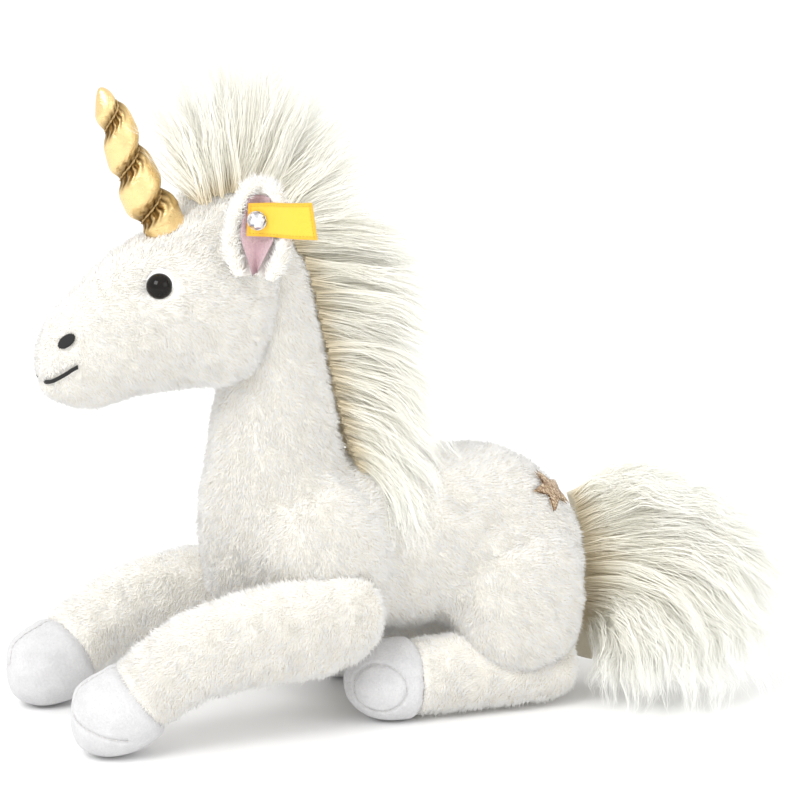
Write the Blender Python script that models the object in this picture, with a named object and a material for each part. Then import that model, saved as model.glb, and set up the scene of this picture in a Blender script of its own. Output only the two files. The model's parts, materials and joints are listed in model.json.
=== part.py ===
"""A lying plush unicorn: sewn covers, stuffing, eyes, horn, ears, tag, mane and tail.

Frame: metres, +Z up. The animal faces -Y and its left side is +X. The origin is on the
floor under the middle of the whole toy.
"""

import math

import bmesh
import bpy
import numpy as np
from mathutils import Matrix, Vector

MM = 0.001

# Driving dimensions, in millimetres, before the move that centres the toy on its origin.
CENTRE_X, CENTRE_Y = 9.9, 1.35
COVER = 1.6  # thickness of a plush cover with its backing
GAP = 0.35  # space between pieces that touch
RING_POINTS = 20
LEG_POINTS = 14

# Torso: stations along Y, from the chest to the rump.
TORSO_Y = (-72.0, -70.5, -66, -56, -42, -24, -18.0, -17.0, -9, -5, 2, 12, 24, 36, 46, 54, 59.5, 62.5)
TORSO_TOP = ((-72, 66), (-70.5, 69), (-66, 71.5), (-60, 72), (-18.0, 72), (-17.0, 86),
             (0, 88.5), (15, 89.5), (30, 88.5), (40, 85), (50, 78), (58, 68), (62.5, 58))
TORSO_HALF_WIDTH = ((-72, 8), (-70.5, 13), (-66, 17), (-56, 21), (-42, 22.5), (-18, 22.5),
                    (-9, 22.5), (-5, 27), (2, 33), (15, 36), (30, 41), (42, 41), (52, 35),
                    (58, 26), (62.5, 10))
TORSO_SHELF = ((-72, 54), (-70.5, 48), (-66, 41), (-56, 34), (-42, 30), (55, 30), (62.5, 38))
KEEL_BOTTOM = ((-72, 53), (-66, 40), (-56, 30), (-42, 22), (-20, 16), (0, 12), (12, 3), (18, 0),
               (50, 0), (56, 6), (60, 16), (62.5, 37))
KEEL_HALF_WIDTH = 11.0
NECK_PLATFORM = 72.0

# Neck: a column that turns on the platform above the shoulders.
NECK_AXIS_Y = -46.5
NECK_STATIONS = (  # height, centre Y, half width, half depth
    (NECK_PLATFORM + GAP, -46.5, 23.5, 28.0),
    (84, -46.7, 22.5, 26.2),
    (100, -47.0, 20.8, 23.3),
    (118, -47.4, 19.3, 20.0),
    (134, -48.5, 18.0, 17.2),
    (150, -50.0, 16.5, 14.5),
)

# Head: stations along Y, from the muzzle to the back of the poll.
HEAD_Y = (-129.5, -128.6, -126, -121, -114, -106, -98, -89, -79, -69, -60, -53, -48.5, -46)
HEAD_TOP = ((-129.5, 128), (-128.6, 133), (-126, 140), (-120, 147), (-106, 159.5), (-98, 165),
            (-83, 171), (-75, 176), (-67, 181), (-60, 183), (-53, 179), (-48.5, 170), (-46, 158))
HEAD_BOTTOM = ((-129.5, 122), (-128.6, 118), (-126, 114.5), (-121, 111.5), (-110, 109.5),
               (-103, 111), (-95, 114), (-80, 115), (-70, 116), (-60, 121), (-53, 128),
               (-48.5, 136), (-46, 146))
HEAD_HALF_WIDTH = ((-129.5, 6), (-128.6, 9), (-126, 12), (-121, 15), (-112, 17.3), (-104, 19),
                   (-95, 22.5), (-85, 25.5), (-72, 27), (-60, 26), (-53, 21.5), (-48.5, 15), (-46, 7))
HEAD_PIVOT = (0.0, -60.0, 138.0)
HEAD_FULLNESS = 2.25  # 2 is an ellipse, more is squarer
NOSE_UP_DEG, NOSE_DOWN_DEG = -6, 10
HEAD_AIR = 1.4  # left round the head where it moves in the neck

# Face
EYE_Y, EYE_TURN_DEG, EYE_RADIUS, EYE_HEIGHT = -92.0, 31.0, 4.9, 3.4
SHANK_RADIUS, SHANK_LENGTH = 1.6, 8.0
WASHER_RADIUS, WASHER_THICKNESS, WASHER_INSET = 4.6, 1.2, 1.4
NOSTRIL_Y, NOSTRIL_TURN_DEG, NOSTRIL_HALF = -122.0, 27.0, (2.6, 1.5)
MUZZLE_Y, MOUTH_SPREAD_DEG, MOUTH_RADIUS = -112.0, 66.0, 0.55
MOUTH_CORNER_Z, MOUTH_FRONT_Z = 126.5, 120.5

# Horn
HORN_BASE = (0.0, -85.5, 171.3)
HORN_TIP = (0.0, -106.0, 216.0)
HORN_RADIUS, HORN_TIP_RADIUS, HORN_TURNS = 8.3, 2.2, 2.2
HORN_RINGS, HORN_POINTS, HORN_COVER, THREAD_RADIUS = 22, 18, 0.8, 0.35

# Ears: a cupped leaf that stands on the side of the poll.
EAR_BASE = (26.6, -60.0, 156.5)
EAR_LENGTH, EAR_HALF_WIDTH, EAR_CUP, EAR_THICKNESS, LINING_THICKNESS = 31.0, 9.6, 3.6, 1.8, 0.8
EAR_FACING = (0.86, -0.50, 0.05)
EAR_LEAN = (0.13, 0.03, 0.99)

# Tag and stud, through the left ear
STUD_UP = 20.0
STUD_RADIUS, STONE_HEIGHT, POST_RADIUS = 3.2, 2.2, 1.1
TAG_LENGTH, TAG_HEIGHT, TAG_THICKNESS, TAG_OVERHANG = 22.5, 11.8, 0.5, 3.4

# Legs: centre X, Y, Z, half width, half height
FORE_LEG = (
    (38.6, -22.0, 44.0, 6.0, 6.5), (38.6, -25.2, 43.6, 10.4, 11.4), (38.6, -30.0, 42.6, 13.0, 14.8),
    (38.8, -38.0, 40.8, 13.9, 17.2), (39.0, -50.0, 38.5, 13.9, 18.2), (39.0, -68.0, 37.0, 13.9, 17.5),
    (38.0, -84.0, 33.5, 13.9, 16.3), (35.5, -96.0, 26.5, 14.0, 14.9), (33.2, -103.5, 20.5, 14.2, 14.6),
    (31.4, -109.5, 15.6, 14.6, 14.8), (30.3, -116.0, 13.2, 14.0, 14.2), (29.7, -121.5, 12.0, 11.5, 11.6),
    (29.4, -125.4, 11.5, 7.0, 7.2),
)
FORE_SEAM = 8
SEAM_SPACE = 0.06  # share of the way to the next station
FORE_PIVOT = (38.0, -28.0, 41.0)
RIGHT_FORE_REACH, RIGHT_FORE_DROP = 8.0, 6.0
HIND_LEG = (
    (27.0, 54.0, 13.6, 5.5, 6.5), (27.0, 50.8, 13.7, 9.4, 11.0), (27.0, 46.5, 13.8, 12.3, 13.2),
    (27.0, 38.0, 13.9, 13.4, 14.0), (27.0, 22.0, 13.9, 13.4, 14.0), (26.6, 4.0, 13.9, 13.6, 14.1),
    (26.2, -6.0, 13.9, 14.2, 14.4), (26.0, -14.0, 13.9, 14.2, 14.4), (25.8, -21.0, 13.7, 13.0, 13.2),
    (25.7, -26.2, 13.4, 9.8, 10.0), (25.7, -29.9, 13.2, 5.5, 5.8),
)
HIND_SEAM = 6
HIND_PIVOT = (27.0, 47.0, 14.0)

# Hair: outlines in the YZ plane
MANE_OUTLINE = ((-31, 153), (-26, 130), (-22.5, 112), (-19, 97), (-12, 93), (4, 93), (11, 106),
                (13, 128), (12, 150), (7, 168), (0, 179))
FORELOCK_OUTLINE = ((-70, 184), (-79, 204), (-81, 222), (-69, 235), (-50, 233), (-30, 217),
                    (-12, 194), (-26, 186), (-42, 181), (-55, 187))
MANE_HALF_THICKNESS, FORELOCK_HALF_THICKNESS = 13.0, 15.0

# Tail: cloth tongue and fur, centre X, Y, Z, half width, half height
TAIL_FUR = (
    (2.0, 67.5, 68.0, 6.0, 5.0), (5.5, 71.5, 66.0, 12.0, 10.5), (12.0, 80.0, 59.0, 19.0, 19.5),
    (21.5, 90.0, 48.0, 26.0, 27.0), (33.0, 99.5, 36.0, 32.0, 30.5), (45.0, 108.0, 25.0, 33.0, 27.0),
    (55.0, 115.5, 17.0, 26.0, 19.0), (60.0, 119.5, 12.0, 13.0, 9.0),
)
TAIL_TONGUE = ((1.5, 65.0, 68.5), (8.0, 71.5, 64.5), (18.0, 81.0, 55.0), (28.0, 90.0, 45.0))
TONGUE_HALF = (5.0, 0.7)
TAIL_PIVOT = (0.0, 62.0, 68.0)

# Star on the left hip
STAR_Y, STAR_Z, STAR_RADIUS, STAR_WAIST, STAR_THICKNESS = 45.0, 71.0, 8.5, 0.5, 0.7
STAR_LIFT = 0.9

FINISHES = {  # colour, roughness, metallic
    "plush": ((0.90, 0.89, 0.85), 0.95, 0.0),
    "stuffing": ((0.93, 0.93, 0.92), 1.0, 0.0),
    "velour": ((0.84, 0.83, 0.82), 0.9, 0.0),
    "lining": ((0.72, 0.50, 0.53), 0.9, 0.0),
    "lame": ((0.80, 0.58, 0.30), 0.28, 0.9),
    "thread": ((0.62, 0.44, 0.22), 0.6, 0.0),
    "black_thread": ((0.02, 0.02, 0.02), 0.7, 0.0),
    "eye": ((0.01, 0.01, 0.012), 0.08, 0.0),
    "washer": ((0.85, 0.85, 0.85), 0.5, 0.0),
    "mane_fur": ((0.93, 0.91, 0.82), 0.6, 0.0),
    "backing": ((0.76, 0.66, 0.46), 0.95, 0.0),
    "glitter": ((0.62, 0.47, 0.36), 0.45, 0.5),
    "tag": ((0.93, 0.62, 0.06), 0.7, 0.0),
    "stone": ((0.92, 0.93, 0.96), 0.05, 0.0),
    "metal": ((0.75, 0.75, 0.78), 0.25, 1.0),
}


def clear_scene():
    for obj in list(bpy.data.objects):
        bpy.data.objects.remove(obj, do_unlink=True)


def finish(name):
    """The material of this name, made the first time it is asked for."""
    made = bpy.data.materials.get(name)
    if made:
        return made
    colour, roughness, metallic = FINISHES[name]
    made = bpy.data.materials.new(name)
    made.use_nodes = True
    shader = made.node_tree.nodes["Principled BSDF"]
    shader.inputs["Base Color"].default_value = (*colour, 1.0)
    shader.inputs["Roughness"].default_value = roughness
    shader.inputs["Metallic"].default_value = metallic
    return made


def smooth(x, table):
    """The value at x of a curve through the table's points that never overshoots them."""
    xs, ys = (np.array(column, float) for column in zip(*table))
    step = np.diff(xs)
    slope = np.diff(ys) / step
    inner = np.where(slope[1:] * slope[:-1] > 0, 2 * slope[1:] * slope[:-1]
                     / np.where(slope[1:] + slope[:-1] == 0, 1, slope[1:] + slope[:-1]), 0.0)
    tangent = np.concatenate([[slope[0]], inner, [slope[-1]]])
    i = int(np.clip(np.searchsorted(xs, x) - 1, 0, len(step) - 1))
    t = float(np.clip((x - xs[i]) / step[i], 0, 1))
    return (ys[i] * (1 + 2 * t) * (1 - t) ** 2 + tangent[i] * step[i] * t * (1 - t) ** 2
            + ys[i + 1] * t * t * (3 - 2 * t) - tangent[i + 1] * step[i] * t * t * (1 - t))


def eroded(y, table, amount, biggest):
    """A profile's value at y, drawn in by amount; biggest says that the profile is a lower limit."""
    values = [smooth(y + step * amount, table) for step in (-1, 0, 1)]
    if biggest != (amount < 0):
        return max(values) + (amount if biggest else -amount)
    return min(values) + (amount if biggest else -amount)


def add_object(name, mesh, material, parent):
    obj = bpy.data.objects.new(name, mesh)
    bpy.context.scene.collection.objects.link(obj)
    mesh.materials.append(finish(material))
    obj.parent = parent
    if parent:
        obj.matrix_parent_inverse = parent.matrix_world.inverted()
    return obj


def to_world(point):
    """A point in the drawing's millimetres, in metres from the origin."""
    return Vector(((point[0] - CENTRE_X) * MM, (point[1] - CENTRE_Y) * MM, point[2] * MM))


def mesh_from(name, points, faces, smooth_angle=50, wall_from=None):
    """A mesh with its faces pointing out. wall_from is the first point of a separate inner wall."""
    shape = bmesh.new()
    verts = [shape.verts.new(to_world(point)) for point in points]
    for face in faces:
        shape.faces.new([verts[i] for i in face])
    bmesh.ops.triangulate(shape, faces=[f for f in shape.faces if len(f.verts) > 4])
    bmesh.ops.recalc_face_normals(shape, faces=shape.faces)
    if wall_from is not None:
        shape.verts.index_update()
        inside = [face for face in shape.faces if face.verts[0].index >= wall_from]
        bmesh.ops.reverse_faces(shape, faces=inside)
    mesh = bpy.data.meshes.new(name)
    shape.to_mesh(mesh)
    shape.free()
    mesh.shade_smooth()
    mesh.set_sharp_from_angle(angle=math.radians(smooth_angle))
    return mesh


def side_faces(first, second, count):
    """Quads between two rings whose points start at these indices."""
    return [(first + i, first + (i + 1) % count, second + (i + 1) % count, second + i)
            for i in range(count)]


def solid(rings):
    """Points and faces of a closed body through the rings."""
    count = len(rings[0])
    points = [point for ring in rings for point in ring]
    faces = []
    for i in range(len(rings) - 1):
        faces += side_faces(i * count, (i + 1) * count, count)
    faces.append(tuple(range(count)))
    faces.append(tuple(range(len(points) - count, len(points))))
    return points, faces


def shell(outer, inner, open_start, open_end):
    """Points and faces of a cover: an outer and an inner wall, joined round each open end."""
    count = len(outer[0])
    points = [point for ring in outer + inner for point in ring]
    start_in = len(outer) * count
    faces = []
    for i in range(len(outer) - 1):
        faces += side_faces(i * count, (i + 1) * count, count)
    for i in range(len(inner) - 1):
        faces += side_faces(start_in + i * count, start_in + (i + 1) * count, count)
    ends = ((open_start, 0, start_in), (open_end, start_in - count, len(points) - count))
    for is_open, out_at, in_at in ends:
        if is_open:
            faces += side_faces(out_at, in_at, count)
        else:
            faces.append(tuple(range(out_at, out_at + count)))
            faces.append(tuple(range(in_at, in_at + count)))
    return points, faces


def cut(target, cutter):
    modifier = target.modifiers.new("cut_" + cutter.name, "BOOLEAN")
    modifier.operation = "DIFFERENCE"
    modifier.object = cutter


def as_cutter(obj):
    obj.hide_render = True
    obj.display_type = "WIRE"
    return obj


def cylinder(name, base, direction, radius, length, material, parent, points=20, stretch=1.0):
    """A round or oval rod from base along direction; stretch lengthens it across."""
    along = Vector(direction).normalized()
    side = along.cross(Vector((0, 0, 1)) if abs(along.z) < 0.9 else Vector((0, 1, 0))).normalized()
    up = side.cross(along)
    rings = []
    for distance in (0, length):
        centre = Vector(base) + along * distance
        rings.append([centre + side * radius * math.cos(a) + up * radius * stretch * math.sin(a)
                      for a in (2 * math.pi * i / points for i in range(points))])
    return add_object(name, mesh_from(name, *solid(rings)), material, parent)


# Torso

def torso_half_width(y, z, inset=0.0):
    """Half the width of the torso at a height, above its shelf."""
    top = eroded(y, TORSO_TOP, inset, False)
    middle = smooth(y, TORSO_SHELF) * 0.55 + top * 0.45
    reach = min(abs(z - middle) / max(top - middle, 1.0), 1.0)
    if z < middle:
        reach *= 0.62
    width = eroded(y, TORSO_HALF_WIDTH, inset, False)
    return max(width, 2.0) * (1 - reach ** 2.3) ** (1 / 2.3)


def torso_ring(y, inset=0.0):
    """The closed section: a narrow keel below, the body with its thighs above a level shelf."""
    top = eroded(y, TORSO_TOP, inset, False)
    shelf = eroded(y, TORSO_SHELF, inset, True)
    keel_low = min(eroded(y, KEEL_BOTTOM, inset, True), shelf - 1.0)
    keel = min(KEEL_HALF_WIDTH, smooth(y, TORSO_HALF_WIDTH) * 0.6) - inset
    half = [(keel * 0.55, keel_low), (keel, keel_low + 0.2 * (shelf - keel_low)),
            (keel, shelf - 0.3)]
    half.append((torso_half_width(y, shelf, inset) * 0.93, shelf))
    for share in (0.12, 0.3, 0.5, 0.68, 0.84, 0.95):
        z = shelf + share * (top - shelf)
        half.append((torso_half_width(y, z, inset), z))
    half.append((torso_half_width(y, shelf + 0.95 * (top - shelf), inset) * 0.45, top))
    return ([(x, y, z) for x, z in half] + [(-x, y, z) for x, z in reversed(half)])


def torso_rings(inset=0.0):
    first, last = TORSO_Y[0] + inset, TORSO_Y[-1] - inset
    stations = [first] + [y for y in TORSO_Y if first + 0.4 < y < last - 0.4] + [last]
    return [torso_ring(y, inset) for y in stations]


def make_torso(parent):
    cover = add_object("torso_cover", mesh_from(
        "torso_cover", *shell(torso_rings(), torso_rings(COVER), False, False),
        wall_from=len(torso_rings()) * len(torso_ring(0.0))), "plush", parent)
    add_object("torso_stuffing", mesh_from(
        "torso_stuffing", *solid(torso_rings(COVER + 2 * GAP))), "stuffing", parent)
    opening = cylinder("cutter_torso_neck_hole", (0, NECK_AXIS_Y, NECK_PLATFORM - 4), (0, 0, 1),
                       14.0, 8.0, "plush", parent, stretch=1.5)
    cut(cover, as_cutter(opening))


def make_star(parent):
    """A five-point star that lies on the left hip."""
    def on_hip(y, z, lift):
        at = Vector((torso_half_width(y, z), y, z))
        along_y = Vector((torso_half_width(y + 1, z), y + 1, z)) - at
        along_z = Vector((torso_half_width(y, z + 1), y, z + 1)) - at
        return at + along_y.cross(along_z).normalized() * lift
    points = []
    for lift in (STAR_LIFT, STAR_LIFT + STAR_THICKNESS):
        for share in (1.0, 0.5):
            for i in range(10):
                reach = STAR_RADIUS * share * (1.0 if i % 2 == 0 else STAR_WAIST)
                angle = math.pi / 2 + i * math.pi / 5
                points.append(on_hip(STAR_Y + reach * math.cos(angle),
                                     STAR_Z + reach * math.sin(angle), lift))
        points.append(on_hip(STAR_Y, STAR_Z, lift))
    faces = side_faces(0, 21, 10)
    for start in (0, 21):
        faces += side_faces(start, start + 10, 10)
        faces += [(start + 10 + i, start + 10 + (i + 1) % 10, start + 20) for i in range(10)]
    add_object("star_patch", mesh_from("star_patch", points, faces, 30), "glitter", parent)


# Neck and head

def neck_rings(inset=0.0):
    rings = []
    for i, (z, centre_y, half_width, half_depth) in enumerate(NECK_STATIONS):
        height = z + (inset if i == 0 and inset > COVER else 0)
        wide, deep = half_width - inset, half_depth - inset
        rings.append([(wide * math.cos(a), centre_y + deep * math.sin(a), height)
                      for a in (2 * math.pi * k / RING_POINTS for k in range(RING_POINTS))])
    return rings


def head_ring(y, inset=0.0):
    top = eroded(y, HEAD_TOP, inset, False)
    bottom = eroded(y, HEAD_BOTTOM, inset, True)
    width = eroded(y, HEAD_HALF_WIDTH, inset, False)
    middle, half = (top + bottom) / 2, max((top - bottom) / 2, 1.0)
    ring = []
    for k in range(RING_POINTS):
        angle = 2 * math.pi * k / RING_POINTS
        c, s = math.cos(angle), math.sin(angle)
        power = 2 / HEAD_FULLNESS
        ring.append((math.copysign(abs(c) ** power, c) * max(width, 1.0), y,
                     middle + math.copysign(abs(s) ** power, s) * half))
    return ring


def head_rings(inset=0.0):
    first, last = HEAD_Y[0] + inset, HEAD_Y[-1] - inset
    stations = [first] + [y for y in HEAD_Y if first + 0.5 < y < last - 0.5] + [last]
    return [head_ring(y, inset) for y in stations]


def head_place(y, turn_deg, side=1):
    """A point on the head's skin and the direction that faces out of it there."""
    def at(along, turn):
        top, bottom = smooth(along, HEAD_TOP), smooth(along, HEAD_BOTTOM)
        c, s = math.cos(turn), math.sin(turn)
        power = 2 / HEAD_FULLNESS
        return Vector((math.copysign(abs(c) ** power, c) * smooth(along, HEAD_HALF_WIDTH), along,
                       (top + bottom) / 2 + math.copysign(abs(s) ** power, s) * (top - bottom) / 2))
    turn = math.radians(turn_deg)
    point = at(y, turn)
    back = at(y + 0.5, turn) - at(y - 0.5, turn)
    round_it = at(y, turn + 0.02) - at(y, turn - 0.02)
    out = back.cross(round_it).normalized()
    flip = Vector((side, 1, 1))
    return point * flip, out * flip


def head_clearances(parent):
    """The head's outline with a little air round it, level and at both ends of its nod."""
    cutters = []
    for degrees in (0, NOSE_UP_DEG, NOSE_DOWN_DEG):
        name = f"cutter_head_{degrees}"
        obj = add_object(name, mesh_from(name, *solid(head_rings(-HEAD_AIR))), "plush", parent)
        pivot = to_world(HEAD_PIVOT)
        turn = Matrix.Translation(pivot) @ Matrix.Rotation(math.radians(degrees), 4, "X")
        obj.matrix_world = turn @ Matrix.Translation(-pivot)
        cutters.append(as_cutter(obj))
    return cutters


def make_neck(parent):
    cover = add_object("neck_cover", mesh_from(
        "neck_cover", *shell(neck_rings(), neck_rings(COVER), True, True)), "plush", parent)
    filling = add_object("neck_stuffing", mesh_from(
        "neck_stuffing", *solid(neck_rings(COVER + 2 * GAP))), "stuffing", parent)
    for cutter in head_clearances(parent):
        cut(cover, cutter)
        cut(filling, cutter)


def make_head(parent):
    cover = add_object("head_cover", mesh_from(
        "head_cover", *shell(head_rings(), head_rings(COVER), False, False),
        wall_from=len(head_rings()) * RING_POINTS), "plush", parent)
    filling = add_object("head_stuffing", mesh_from(
        "head_stuffing", *solid(head_rings(COVER + 2 * GAP))), "stuffing", parent)
    hole = cylinder("cutter_head_neck_hole", (0, -60, 108), (0, 0, 1), 9.0, 20.0, "plush", parent)
    cut(cover, as_cutter(hole))
    for side, word in ((1, "left"), (-1, "right")):
        make_eye(word, side, cover, filling, parent)
        make_nostril(word, side, parent)
    make_mouth(parent)


def make_eye(word, side, cover, filling, parent):
    """A domed safety eye on its shank, and the lock washer that holds it inside the head."""
    point, out = head_place(EYE_Y, EYE_TURN_DEG, side)
    across = out.cross(Vector((0, 1, 0))).normalized()
    up = out.cross(across)
    back = point + out * (GAP + 0.15)
    profile = [(SHANK_RADIUS, -SHANK_LENGTH), (SHANK_RADIUS, 0.0), (EYE_RADIUS * 0.96, 0.0)]
    for i in range(1, 7):
        angle = i * math.pi / 2 / 7
        profile.append((EYE_RADIUS * math.cos(angle * 0.98), 0.35 + EYE_HEIGHT * math.sin(angle)))
    rings = [[back + out * height + (across * math.cos(a) + up * math.sin(a)) * radius
              for a in (2 * math.pi * k / 20 for k in range(20))] for radius, height in profile]
    add_object(f"{word}_eye", mesh_from(f"{word}_eye", *solid(rings)), "eye", parent)
    inside = back - out * (GAP + 0.15 + COVER + WASHER_INSET)
    washer = cylinder(f"{word}_eye_washer", inside - out * WASHER_THICKNESS, out, WASHER_RADIUS,
                      WASHER_THICKNESS, "washer", parent)
    bore = as_cutter(cylinder(f"cutter_{word}_eye_bore", back - out * (SHANK_LENGTH + 2), out,
                              SHANK_RADIUS + 0.3, SHANK_LENGTH + 4, "washer", parent))
    pocket = as_cutter(cylinder(f"cutter_{word}_eye_pocket",
                                inside - out * (WASHER_THICKNESS + 1.5), out,
                                WASHER_RADIUS + 0.4, 12.0, "washer", parent))
    well = as_cutter(cylinder(f"cutter_{word}_eye_well", back - out * (SHANK_LENGTH + 0.5), out,
                              SHANK_RADIUS + 0.35, SHANK_LENGTH, "washer", parent))
    cut(cover, bore)
    cut(washer, bore)
    cut(filling, pocket)
    cut(filling, well)


def make_nostril(word, side, parent):
    """A small oval pad of satin stitches."""
    point, out = head_place(NOSTRIL_Y, NOSTRIL_TURN_DEG, side)
    along = Vector((side * 0.5, 0.5, 0.66))
    along = (along - out * along.dot(out)).normalized()
    across = out.cross(along)
    rings = []
    for lift, share in ((0.0, 0.9), (0.35, 1.0), (0.8, 0.6)):
        rings.append([point + out * (GAP + 0.2 + lift) + along * NOSTRIL_HALF[0] * share * math.cos(a)
                      + across * NOSTRIL_HALF[1] * share * math.sin(a)
                      for a in (2 * math.pi * k / 14 for k in range(14))])
    name = f"{word}_nostril_stitching"
    add_object(name, mesh_from(name, *solid(rings)), "black_thread", parent)


def muzzle_reach(angle, z):
    """How far the skin lies from the line MUZZLE_Y, at a height and an angle from straight ahead."""
    inside, outside = 0.0, 30.0
    for _ in range(30):
        middle = (inside + outside) / 2
        x, y = middle * math.sin(angle), MUZZLE_Y - middle * math.cos(angle)
        top, bottom = smooth(y, HEAD_TOP), smooth(y, HEAD_BOTTOM)
        across = abs(x) / smooth(y, HEAD_HALF_WIDTH)
        upward = abs(z - (top + bottom) / 2) / ((top - bottom) / 2)
        if y > HEAD_Y[0] and across ** HEAD_FULLNESS + upward ** HEAD_FULLNESS < 1:
            inside = middle
        else:
            outside = middle
    return inside


def make_mouth(parent):
    """One embroidered line from corner to corner, round the front of the muzzle."""
    points = []
    for i in range(-14, 15):
        share = i / 14
        angle = share * math.radians(MOUTH_SPREAD_DEG)
        z = MOUTH_FRONT_Z + (MOUTH_CORNER_Z - MOUTH_FRONT_Z) * abs(share) ** 1.5
        reach = muzzle_reach(angle, z) + MOUTH_RADIUS + GAP + 0.25
        points.append((reach * math.sin(angle), MUZZLE_Y - reach * math.cos(angle), z))
    tube("mouth_stitching", points, MOUTH_RADIUS, "black_thread", parent, 2)


def tube(name, points, radius, material, parent, resolution):
    curve = bpy.data.curves.new(name, "CURVE")
    curve.dimensions = "3D"
    curve.bevel_depth = radius * MM
    curve.bevel_resolution = resolution
    curve.use_fill_caps = True
    spline = curve.splines.new("POLY")
    spline.points.add(len(points) - 1)
    for slot, point in zip(spline.points, points):
        slot.co = (*to_world(point), 1.0)
    return add_object(name, curve, material, parent)


# Horn

def horn_frame():
    base, tip = Vector(HORN_BASE), Vector(HORN_TIP)
    along = (tip - base).normalized()
    side = Vector((1, 0, 0))
    return base, along, side, side.cross(along), (tip - base).length


def horn_radius(share, angle, inset=0.0):
    """A cone whose groove winds up it as a helix."""
    body = HORN_RADIUS + (HORN_TIP_RADIUS - HORN_RADIUS) * share ** 1.15
    phase = angle - 2 * math.pi * HORN_TURNS * share
    groove = (0.5 + 0.5 * math.cos(phase)) ** 6
    close = min(1.0, (1 - share) * 9 + 0.35)
    return max((body * (1 - 0.30 * groove)) * close - inset, 0.35)


def horn_rings(inset=0.0, rings=HORN_RINGS):
    base, along, side, up, length = horn_frame()
    made = []
    for i in range(rings):
        share = i / (rings - 1)
        height = inset * 0.5 + share * (length - 1.5 * inset)
        ring = []
        for k in range(HORN_POINTS):
            a = 2 * math.pi * k / HORN_POINTS
            out = side * math.cos(a) + up * math.sin(a)
            ring.append(base + along * height + out * horn_radius(share, a, inset))
        made.append(ring)
    return made


def make_horn(parent):
    outer, inner = horn_rings(), horn_rings(HORN_COVER)
    inner[0] = [point - horn_frame()[1] * HORN_COVER * 0.5 for point in inner[0]]
    add_object("horn_cover", mesh_from("horn_cover", *shell(outer, inner, True, False)), "lame", parent)
    filling = horn_rings(HORN_COVER + GAP + 0.15)
    add_object("horn_stuffing", mesh_from("horn_stuffing", *solid(filling)), "stuffing", parent)
    base, along, side, up, length = horn_frame()
    points = []
    for i in range(60):
        share = 0.03 + 0.88 * i / 59
        angle = 2 * math.pi * HORN_TURNS * share
        reach = horn_radius(share, angle) + 2 * THREAD_RADIUS + 0.15
        out = side * math.cos(angle) + up * math.sin(angle)
        points.append(base + along * share * length + out * reach)
    tube("horn_thread", points, THREAD_RADIUS, "thread", parent, 1)


# Ears

def ear_frame(side):
    flip = Vector((side, 1, 1))
    up = Vector(EAR_LEAN).normalized()
    facing = Vector(EAR_FACING)
    facing = (facing - up * facing.dot(up)).normalized()
    across = up.cross(facing)
    return Vector(EAR_BASE) * flip, up * flip, facing * flip, across * flip


def ear_leaf(side, front, thickness, margin):
    """A cupped leaf: front is how far its face lies before the ear's back skin."""
    base, up, facing, across = ear_frame(side)
    rows, columns = 9, 8
    layers = []
    for depth in (front, front + thickness):
        grid = []
        for i in range(rows):
            share = i / (rows - 1)
            height = margin + share * (EAR_LENGTH - 2 * margin)
            swell = height / EAR_LENGTH
            shape = min(max(0.16 + 0.84 * swell ** 0.85, 0), 0.94)
            width = EAR_HALF_WIDTH * math.sin(math.pi * shape) ** 0.6
            width = max(width - margin, 1.2)
            for j in range(columns):
                across_share = -1 + 2 * j / (columns - 1)
                cup = EAR_CUP * across_share ** 2 * (0.55 + 0.45 * (1 - swell))
                side_step = across * width * across_share
                grid.append(base + up * height + side_step + facing * (cup + depth))
        layers.append(grid)
    points = layers[0] + layers[1]
    layer = rows * columns
    faces = []
    for start in (0, layer):
        for i in range(rows - 1):
            for j in range(columns - 1):
                a = start + i * columns + j
                faces.append((a, a + 1, a + columns + 1, a + columns))
    border = ([j for j in range(columns)] + [i * columns + columns - 1 for i in range(1, rows)]
              + [(rows - 1) * columns + j for j in range(columns - 2, -1, -1)]
              + [i * columns for i in range(rows - 2, 0, -1)])
    for k, a in enumerate(border):
        b = border[(k + 1) % len(border)]
        faces.append((a, b, layer + b, layer + a))
    return points, faces


def make_ears(left_parent, right_parent):
    for word, side, parent in (("left", 1, left_parent), ("right", -1, right_parent)):
        outer = add_object(f"{word}_ear", mesh_from(
            f"{word}_ear", *ear_leaf(side, 0.0, EAR_THICKNESS, 0.0)), "plush", parent)
        lining = add_object(f"{word}_ear_lining", mesh_from(
            f"{word}_ear_lining", *ear_leaf(side, EAR_THICKNESS + GAP, LINING_THICKNESS, 2.0)),
            "lining", parent)
        if side == 1:
            base, up, facing, _ = ear_frame(1)
            hole = as_cutter(cylinder("cutter_stud_hole", base + up * STUD_UP - facing * 3, facing,
                                      POST_RADIUS + 0.3, 10.0, "metal", parent))
            cut(outer, hole)
            cut(lining, hole)


def stud_rings(profile, points):
    base, up, facing, across = ear_frame(1)
    centre = base + up * STUD_UP
    turns = [2 * math.pi * k / points for k in range(points)]
    return [[centre + facing * height + (across * math.cos(a) + up * math.sin(a)) * radius
             for a in turns] for radius, height in profile]


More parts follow.
